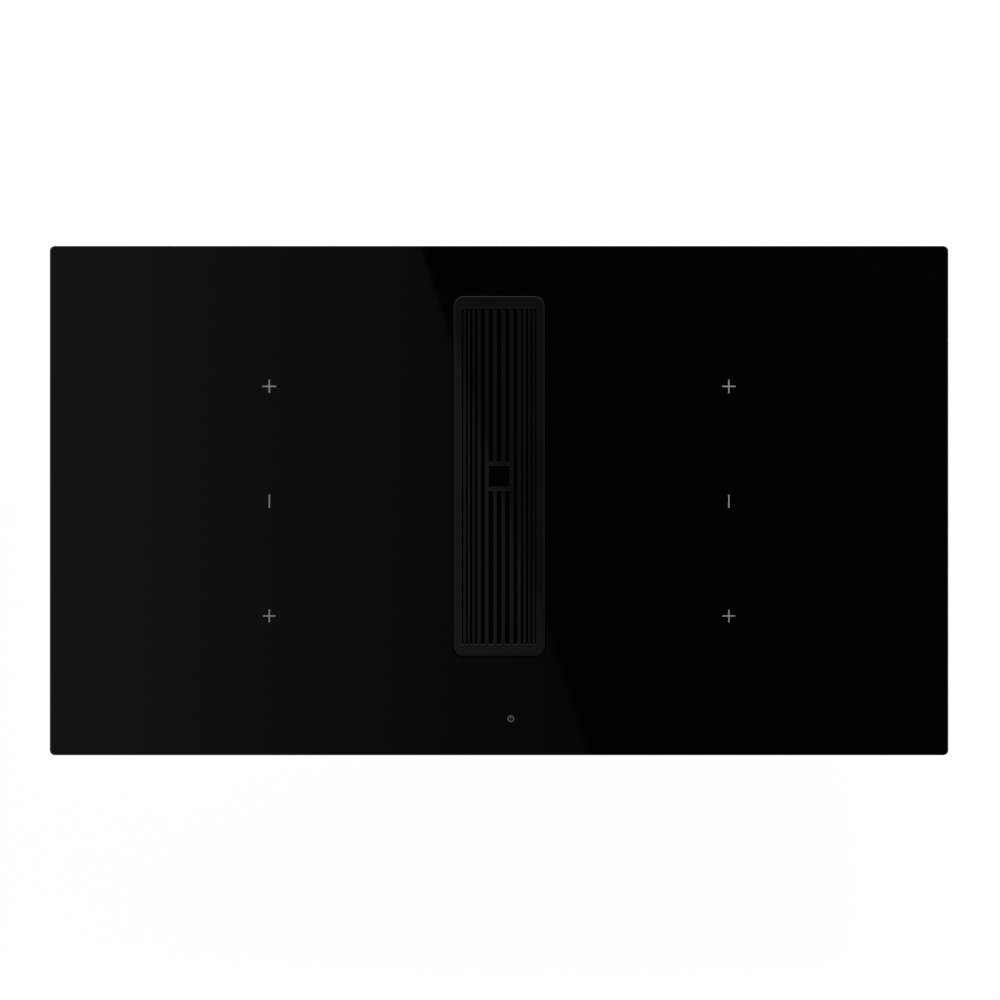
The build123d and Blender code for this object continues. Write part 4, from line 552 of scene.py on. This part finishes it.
def ringFrame(shape, size, corner, width, depth):
    # flat ring with round corners on z = 0, around the origin
    before = set(shape.verts)
    sheet = bmesh.ops.create_grid(shape, x_segments=1, y_segments=1, size=0.5)["verts"]
    bmesh.ops.scale(shape, vec=(size[0] * mm, size[1] * mm, 1), verts=sheet)
    bmesh.ops.bevel(shape, geom=sheet, offset=corner * mm, offset_type="OFFSET", affect="VERTICES",
                    segments=5, profile=0.5, material=-1)
    made = [vert for vert in shape.verts if vert not in before]
    face = made[0].link_faces[0]
    rim = bmesh.ops.inset_individual(shape, faces=[face], thickness=width * mm,
                                     use_even_offset=True)["faces"]
    bmesh.ops.delete(shape, geom=[face], context="FACES")
    raised = bmesh.ops.extrude_face_region(shape, geom=rim, use_keep_orig=True)
    bmesh.ops.translate(shape, vec=(0, 0, depth * mm), verts=newVerts(raised))
    return [vert for vert in shape.verts if vert not in before]


meshes = bmesh.new()
cell, flatten = meshLook["cell"], meshLook["flatten"]
reach = (meshLook["length"] / 2 + meshLook["height"] / 2 / flatten) / math.sqrt(2) + cell
count = int(2 * reach / cell)
for side in (-1, 1):
    panel = bmesh.new()
    bmesh.ops.create_grid(panel, x_segments=count, y_segments=count, size=reach * mm)
    bmesh.ops.rotate(panel, cent=(0, 0, 0), matrix=Matrix.Rotation(math.pi / 4, 3, "Z"), verts=panel.verts)
    bmesh.ops.scale(panel, vec=(1, flatten, 1), verts=panel.verts)
    for axis, half in (((1, 0, 0), meshLook["length"] / 2), ((0, 1, 0), meshLook["height"] / 2)):
        for way in (-1, 1):
            normal = Vector(axis) * way
            cut = (half - meshLook["rim"] / 2) * mm
            bmesh.ops.bisect_plane(panel, geom=[*panel.verts, *panel.edges, *panel.faces], dist=1e-7,
                                   plane_co=normal * cut, plane_no=normal, clear_outer=True)
    bmesh.ops.wireframe(panel, faces=panel.faces, thickness=meshLook["strand"] * mm, use_replace=True,
                        use_boundary=True, use_even_offset=True)
    border = ringFrame(panel, (meshLook["length"], meshLook["height"]), meshLook["corner"], meshLook["rim"],
                       meshLook["thick"])
    bmesh.ops.translate(panel, vec=(0, 0, -meshLook["thick"] * mm / 2), verts=border)
    bmesh.ops.translate(panel, vec=(0, 0, (meshLook["thick"] / 2 + meshLook["lift"]) * mm), verts=panel.verts)
    slope = math.radians(meshLook["slope"])
    along, inward = Vector((0, 1, 0)), Vector((-side * math.cos(slope), 0, math.sin(slope)))
    upward = inward.cross(along)
    turn = Matrix((along, upward, inward)).transposed().to_4x4()
    turn.translation = Vector((side * meshLook["across"], meshLook["y"], meshLook["level"])) * mm
    bmesh.ops.transform(panel, matrix=turn, verts=panel.verts)
    holder = bpy.data.meshes.new("panel")
    panel.to_mesh(holder)
    panel.free()
    meshes.from_mesh(holder)
    bpy.data.meshes.remove(holder)
# the mesh takes the filter's near-black coat, partly painted shade under the grille
filterMesh = newPiece("filterMesh", "filter", "filter_black", meshes)
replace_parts(filterMesh, "filter_meshes")
print("filter mesh:", len(filterMesh.data.polygons), "faces")


# stiffening ribs of the fan housing
ribLook = {"thick": 2.0, "proud": 2.8, "sunk": 0.4, "edge": 0.5, "top": -64, "foot": -149.4,
           "leftWall": -56.5, "left": (-140, -120, -45, -5, 35, 75, 180),
           "frontWall": -162, "front": (-36, -12, 12, 36),
           "rightWall": 279.5, "right": (35, 75, 115, 185),
           "fan": (168, 0), "noseRadius": 111.5, "nose": (-150, -130, -110, -90, -30, -12),
           "deck": -62, "deckRise": 1.4, "deckReach": (62, 100), "deckStep": 15, "deckEnd": 300}
ribs = bmesh.new()
ribHeight = ribLook["top"] - ribLook["foot"]
ribMiddle = (ribLook["top"] + ribLook["foot"]) / 2
ribDepth = ribLook["proud"] + ribLook["sunk"]
ribOut = ribDepth / 2 - ribLook["sunk"]
for y in ribLook["left"]:
    block(ribs, (ribLook["leftWall"] - ribOut, y, ribMiddle), (ribDepth, ribLook["thick"], ribHeight),
          ribLook["edge"])
for x in ribLook["front"]:
    block(ribs, (x, ribLook["frontWall"] - ribOut, ribMiddle), (ribLook["thick"], ribDepth, ribHeight),
          ribLook["edge"])
for y in ribLook["right"]:
    block(ribs, (ribLook["rightWall"] + ribOut, y, ribMiddle), (ribDepth, ribLook["thick"], ribHeight),
          ribLook["edge"])


def radialRib(angle, nearRadius, farRadius, low, high):
    # one rib that points away from the fan's axis
    before = set(ribs.verts)
    block(ribs, ((nearRadius + farRadius) / 2, 0, (low + high) / 2),
          (farRadius - nearRadius, ribLook["thick"], high - low), ribLook["edge"])
    made = [vert for vert in ribs.verts if vert not in before]
    turn = Matrix.Rotation(math.radians(angle), 4, "Z")
    place = Matrix.Translation(Vector((*ribLook["fan"], 0)) * mm)
    bmesh.ops.transform(ribs, matrix=place @ turn, verts=made)


nose = ribLook["noseRadius"]
for angle in ribLook["nose"]:
    radialRib(angle, nose - ribLook["sunk"], nose + ribLook["proud"], ribLook["foot"], ribLook["top"])
for angle in range(ribLook["deckStep"], ribLook["deckEnd"], ribLook["deckStep"]):
    radialRib(angle, *ribLook["deckReach"], ribLook["deck"] - ribLook["sunk"],
              ribLook["deck"] + ribLook["deckRise"])
newPiece("housingRibs", "chassis", "black_plastic", ribs, 40)

bandLook = {"size": (230.0, 97.0), "corner": 8.4, "width": 1.6, "depth": 2.2, "x": 168, "z": -107,
            "y": (219, 231)}
bands = bmesh.new()
for y in bandLook["y"]:
    ring = ringFrame(bands, bandLook["size"], bandLook["corner"], bandLook["width"], bandLook["depth"])
    stand = Matrix.Translation(Vector((bandLook["x"], y, bandLook["z"])) * mm)
    bmesh.ops.transform(bands, matrix=stand @ Matrix.Rotation(math.pi / 2, 4, "X"), verts=ring)
newPiece("socketBands", "chassis", "black_plastic", bands, 40)
print("ribs moulded")


# trim on the tray's front and on the terminal cover
trayLook = {"panel": (108, 27), "corner": 2.5, "rim": 1.4, "proud": 0.6, "sunk": 0.3, "face": -168.8,
            "level": -188.2, "ridges": 9, "ridgeSpacing": 6, "ridge": (1.6, 7, 0.9), "ridgeY": -173.3,
            "ridgeLevel": -175.05, "ridgeEdge": 0.25}
trayTrim = bmesh.new()
border = ringFrame(trayTrim, trayLook["panel"], trayLook["corner"], trayLook["rim"],
                   trayLook["proud"] + trayLook["sunk"])
stand = Matrix.Translation(Vector((0, trayLook["face"] + trayLook["sunk"], trayLook["level"])) * mm)
bmesh.ops.transform(trayTrim, matrix=stand @ Matrix.Rotation(math.pi / 2, 4, "X"), verts=border)
for step in range(trayLook["ridges"]):
    x = (step - (trayLook["ridges"] - 1) / 2) * trayLook["ridgeSpacing"]
    block(trayTrim, (x, trayLook["ridgeY"], trayLook["ridgeLevel"]), trayLook["ridge"], trayLook["ridgeEdge"])
newPiece("trayTrim", "tray", "black_plastic", trayTrim, 40)

coverLook = {"x": -325, "y": 224.4, "levels": (-82.5, -78.5, -74.5), "rib": (84, 1.6, 1.4), "edge": 0.3}
coverTrim = bmesh.new()
for z in coverLook["levels"]:
    block(coverTrim, (coverLook["x"], coverLook["y"], z), coverLook["rib"], coverLook["edge"])
newPiece("coverRibs", "cover", "grey_plastic", coverTrim, 40)


# leads: the motor's, and the three mains wires
motorLeadLook = {"diameter": 4.4}
motorRoute = [(258.5, -125, -79.5), (258.5, -125, -59.7), (262.5, -103, -59.7), (257.5, -78, -59.7),
              (246.5, -55, -59.7), (231, -32, -59.7), (231, -6, -59.7)]


def leadCurve(name, route, diameter):
    # one smooth spline through the route's points
    line = bpy.data.curves.new(name, "CURVE")
    line.dimensions = "3D"
    spline = line.splines.new("NURBS")
    spline.points.add(len(route) - 1)
    for point, place in zip(spline.points, route):
        point.co = (*(value * mm for value in place), 1)
    spline.order_u = 3
    spline.use_endpoint_u = True
    spline.resolution_u = 12
    line.bevel_depth = diameter * mm / 2
    line.bevel_resolution = 5
    line.use_fill_caps = True
    lead = bpy.data.objects.new(name, line)
    bpy.context.scene.collection.objects.link(lead)
    return lead


plugLook = {"x": 231, "body": (14, 11, 5.2), "bodyY": -0.5, "bodyLevel": -59.4, "bodyEdge": 0.8,
            "latch": (5, 6, 1.0), "latchY": 1.5, "latchLevel": -57.0, "edge": 0.3,
            "ridges": 3, "ridge": (14.6, 0.7, 4.2), "ridgeY": -4.6, "ridgeSpacing": 1.4, "ridgeLevel": -59.3,
            "ridgeEdge": 0.25}
plug = bmesh.new()
block(plug, (plugLook["x"], plugLook["bodyY"], plugLook["bodyLevel"]), plugLook["body"],
      plugLook["bodyEdge"], 3)
block(plug, (plugLook["x"], plugLook["latchY"], plugLook["latchLevel"]), plugLook["latch"], plugLook["edge"])
for step in range(plugLook["ridges"]):
    y = plugLook["ridgeY"] + step * plugLook["ridgeSpacing"]
    block(plug, (plugLook["x"], y, plugLook["ridgeLevel"]), plugLook["ridge"], plugLook["ridgeEdge"])
plugPiece = newPiece("motorPlug", "chassis", "white_plastic", plug, 40)

# radius and height: a flange on the motor, then a sleeve that narrows towards the lead
bootProfile = [(0, 0), (4.6, 0), (4.6, 1.4), (3.4, 2.0), (2.9, 9), (2.1, 9), (0, 8)]
boot = bmesh.new()
lathe(boot, bootProfile, 32)
bmesh.ops.translate(boot, vec=Vector(motorRoute[0]) * mm, verts=boot.verts)
newPiece("leadBoot", "chassis", "rubber", boot, 40)

motorLead = leadCurve("motorLead", motorRoute, motorLeadLook["diameter"])
motorLead.data.materials.append(finishes["cable_sheath"])
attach(motorLead, "chassis")
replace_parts(motorLead, "motor_cable")

wireLook = {"diameter": 2.8, "lane": 4.2, "pole": 14, "x": -325, "length": 0.179}
wireColours = {"brown": (0.09, 0.035, 0.015), "blue": (0.02, 0.09, 0.3), "green": (0.05, 0.2, 0.03)}
for index, (name, colour) in enumerate(wireColours.items(), -1):
    poleX = wireLook["x"] + index * wireLook["pole"]
    laneX = wireLook["x"] + index * wireLook["lane"]
    route = [(poleX, 191, -75.5), (poleX, 186, -75.5), (laneX, 182, -60), (laneX, 182, -39.6),
             (laneX, 38, -39.6), (laneX, 38, -45.6)]
    wire = leadCurve("mainsWire" + name.capitalize(), route, wireLook["diameter"])
    sheath = dict(softLooks["cable_sheath"], colour=colour)
    wire.data.materials.append(softSkin(name + "Sheath", sheath))
    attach(wire, "chassis")
    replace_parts(wire, "mains_wires")
print("leads laid")


# camera, floor and light
cameraLook = {"place": (0.00093, 0.0006, 5.5692), "lens": 200, "sensor": 36}
camera = bpy.data.cameras.new("camera")
camera.lens = cameraLook["lens"]
camera.sensor_width = cameraLook["sensor"]
camera.clip_end = 50
cameraStand = bpy.data.objects.new("camera", camera)
cameraStand.location = cameraLook["place"]
bpy.context.scene.collection.objects.link(cameraStand)
bpy.context.scene.camera = cameraStand

floorLook = {"size": 4.0, "level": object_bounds()[0][2], "paint": (0.8, 0.8, 0.79), "glow": 0.94, "shade": 0.16}


def lookingRays(tree):
    # camera, glossy and transmission rays together
    rays = tree.nodes.new("ShaderNodeLightPath")
    total = rays.outputs["Is Camera Ray"]
    for name in ("Is Glossy Ray", "Is Transmission Ray"):
        both = tree.nodes.new("ShaderNodeMath")
        both.operation = "MAXIMUM"
        tree.links.new(total, both.inputs[0])
        tree.links.new(rays.outputs[name], both.inputs[1])
        total = both.outputs[0]
    return total


def floorMaterial():
    # white to look at, faintly shaded; clear when seen from below
    material, tree, shader = newMaterial("floorPaint")
    sheen = noiseOf(tree, coordsOf(tree), 0.3, 4)
    tree.links.new(colourBetween(tree, sheen, shaded(floorLook["paint"], 0.97), floorLook["paint"]),
                   shader.inputs["Base Color"])
    shader.inputs["Roughness"].default_value = 0.8
    glow = tree.nodes.new("ShaderNodeEmission")
    glow.inputs["Strength"].default_value = floorLook["glow"]
    dimmed = tree.nodes.new("ShaderNodeBsdfDiffuse")
    dimmed.inputs["Color"].default_value = (floorLook["shade"],) * 3 + (1,)
    seen = tree.nodes.new("ShaderNodeAddShader")
    tree.links.new(glow.outputs[0], seen.inputs[0])
    tree.links.new(dimmed.outputs[0], seen.inputs[1])
    pick = tree.nodes.new("ShaderNodeMixShader")
    tree.links.new(lookingRays(tree), pick.inputs["Fac"])
    tree.links.new(shader.outputs[0], pick.inputs[1])
    tree.links.new(seen.outputs[0], pick.inputs[2])
    clear = tree.nodes.new("ShaderNodeBsdfTransparent")
    side = tree.nodes.new("ShaderNodeNewGeometry")
    either = tree.nodes.new("ShaderNodeMixShader")
    tree.links.new(side.outputs["Backfacing"], either.inputs["Fac"])
    tree.links.new(pick.outputs[0], either.inputs[1])
    tree.links.new(clear.outputs[0], either.inputs[2])
    tree.links.new(either.outputs[0], tree.nodes["Material Output"].inputs["Surface"])
    return material


def stagePiece(name, shape, material):
    # floor or backdrop, which isn't part of the hob
    data = bpy.data.meshes.new(name)
    shape.to_mesh(data)
    shape.free()
    data.materials.append(material)
    piece = bpy.data.objects.new(name, data)
    bpy.context.scene.collection.objects.link(piece)
    return piece


floor = bmesh.new()
bmesh.ops.create_grid(floor, x_segments=1, y_segments=1, size=floorLook["size"])
bmesh.ops.translate(floor, vec=(0, 0, floorLook["level"]), verts=floor.verts)
stagePiece("floor", floor, floorMaterial())

# pale wall that the polished glass mirrors; its slanting edge draws the diagonal across the hob
wallLook = {"height": 6.0, "scale": 2.0766, "edge": ((-0.0792, 0.2542), (0.0891, -0.252)), "reach": 1.3,
            "width": 2.2, "from": -0.92, "to": 0.15,
            "glow": ((0.0, 0.157), (0.078, 0.155), (0.205, 0.122), (1.0, 0.036))}


def wallMaterial():
    # glow that fades from the wall's far side to its slanting edge
    material, tree, shader = newMaterial("wallGlow")
    tree.nodes.remove(shader)
    place = tree.nodes.new("ShaderNodeSeparateXYZ")
    tree.links.new(coordsOf(tree), place.inputs[0])
    across = valueBetween(tree, place.outputs["X"], 0, 1, wallLook["from"], wallLook["to"])
    level = tree.nodes.new("ShaderNodeValToRGB")
    stops = level.color_ramp.elements
    while len(stops) < len(wallLook["glow"]):
        stops.new(0.5)
    for stop, (position, strength) in zip(stops, wallLook["glow"]):
        stop.position = position
        stop.color = (strength, strength, strength, 1)
    tree.links.new(across, level.inputs["Fac"])
    glow = tree.nodes.new("ShaderNodeEmission")
    tree.links.new(level.outputs["Color"], glow.inputs["Color"])
    tree.links.new(glow.outputs[0], tree.nodes["Material Output"].inputs["Surface"])
    return material


wall = bmesh.new()
scale = wallLook["scale"]
top, bottom = (Vector((x * scale, y * scale, wallLook["height"])) for x, y in wallLook["edge"])
beyond = (top - bottom).normalized() * wallLook["reach"]
edgeLine = wall.edges.new([wall.verts.new(top + beyond), wall.verts.new(bottom - beyond)])
grown = bmesh.ops.extrude_edge_only(wall, edges=[edgeLine])
bmesh.ops.translate(wall, vec=(-wallLook["width"], 0, 0), verts=newVerts(grown))
mirroredWall = stagePiece("mirroredWall", wall, wallMaterial())
for kind in ("camera", "diffuse", "transmission", "volume_scatter", "shadow"):
    setattr(mirroredWall, "visible_" + kind, False)

# heights and depths are parts of the way to straight up and straight back
skyLook = {"horizon": 0.8, "zenith": 0.003, "soft": (0.35, 0.9), "rising": (0.0, 0.08),
           "mirrored": (0.08, 0.26), "band": (0.3, 1.5), "behind": (0.2, 0.9)}


def studioSky():
    # white to the camera; to the hob a pale horizon, mirrored as a low band that is brightest at the back
    world = bpy.data.worlds.new("studio")
    bpy.context.scene.world = world
    world.use_nodes = True
    tree = world.node_tree
    back = tree.nodes["Background"]
    place = tree.nodes.new("ShaderNodeTexCoord")
    split = tree.nodes.new("ShaderNodeSeparateXYZ")
    tree.links.new(place.outputs["Generated"], split.inputs[0])
    rays = tree.nodes.new("ShaderNodeLightPath")
    soft = valueBetween(tree, split.outputs["Z"], skyLook["horizon"], skyLook["zenith"], *skyLook["soft"])
    band = valueBetween(tree, split.outputs["Y"], *skyLook["band"], *skyLook["behind"])
    rising = valueBetween(tree, split.outputs["Z"], skyLook["band"][0], band, *skyLook["rising"])
    mirrored = valueBetween(tree, split.outputs["Z"], rising, skyLook["zenith"], *skyLook["mirrored"])
    level = soft
    views = (("Is Glossy Ray", mirrored), ("Is Transmission Ray", mirrored), ("Is Camera Ray", None))
    for ray, seen in views:
        pick = tree.nodes.new("ShaderNodeMix")
        tree.links.new(rays.outputs[ray], pick.inputs["Factor"])
        tree.links.new(level, pick.inputs["A"])
        if seen:
            tree.links.new(seen, pick.inputs["B"])
        else:
            pick.inputs["B"].default_value = 1
        level = pick.outputs["Result"]
    back.inputs["Color"].default_value = (1, 1, 1, 1)
    tree.links.new(level, back.inputs["Strength"])


studioSky()

lampLooks = {
    "keySoftbox": {"place": (0.5, 1.25, 0.95), "size": 0.7, "watts": 30},
    "fillSoftbox": {"place": (-2.6, -2.2, 2.2), "size": 2.6, "watts": 14},
    "lowSoftbox": {"place": (0.5, -3.4, 0.6), "size": 2.4, "watts": 6},
}
for name, look in lampLooks.items():
    lamp = bpy.data.lights.new(name, "AREA")
    lamp.shape = "SQUARE"
    lamp.size = look["size"]
    lamp.energy = look["watts"]
    stand = bpy.data.objects.new(name, lamp)
    stand.location = look["place"]
    stand.visible_camera = False
    stand.visible_glossy = False
    stand.rotation_euler = (-Vector(look["place"])).to_track_quat("-Z", "Y").to_euler()
    bpy.context.scene.collection.objects.link(stand)
print("camera, floor and light set")

view = bpy.context.scene.view_settings
view.view_transform = "Standard"
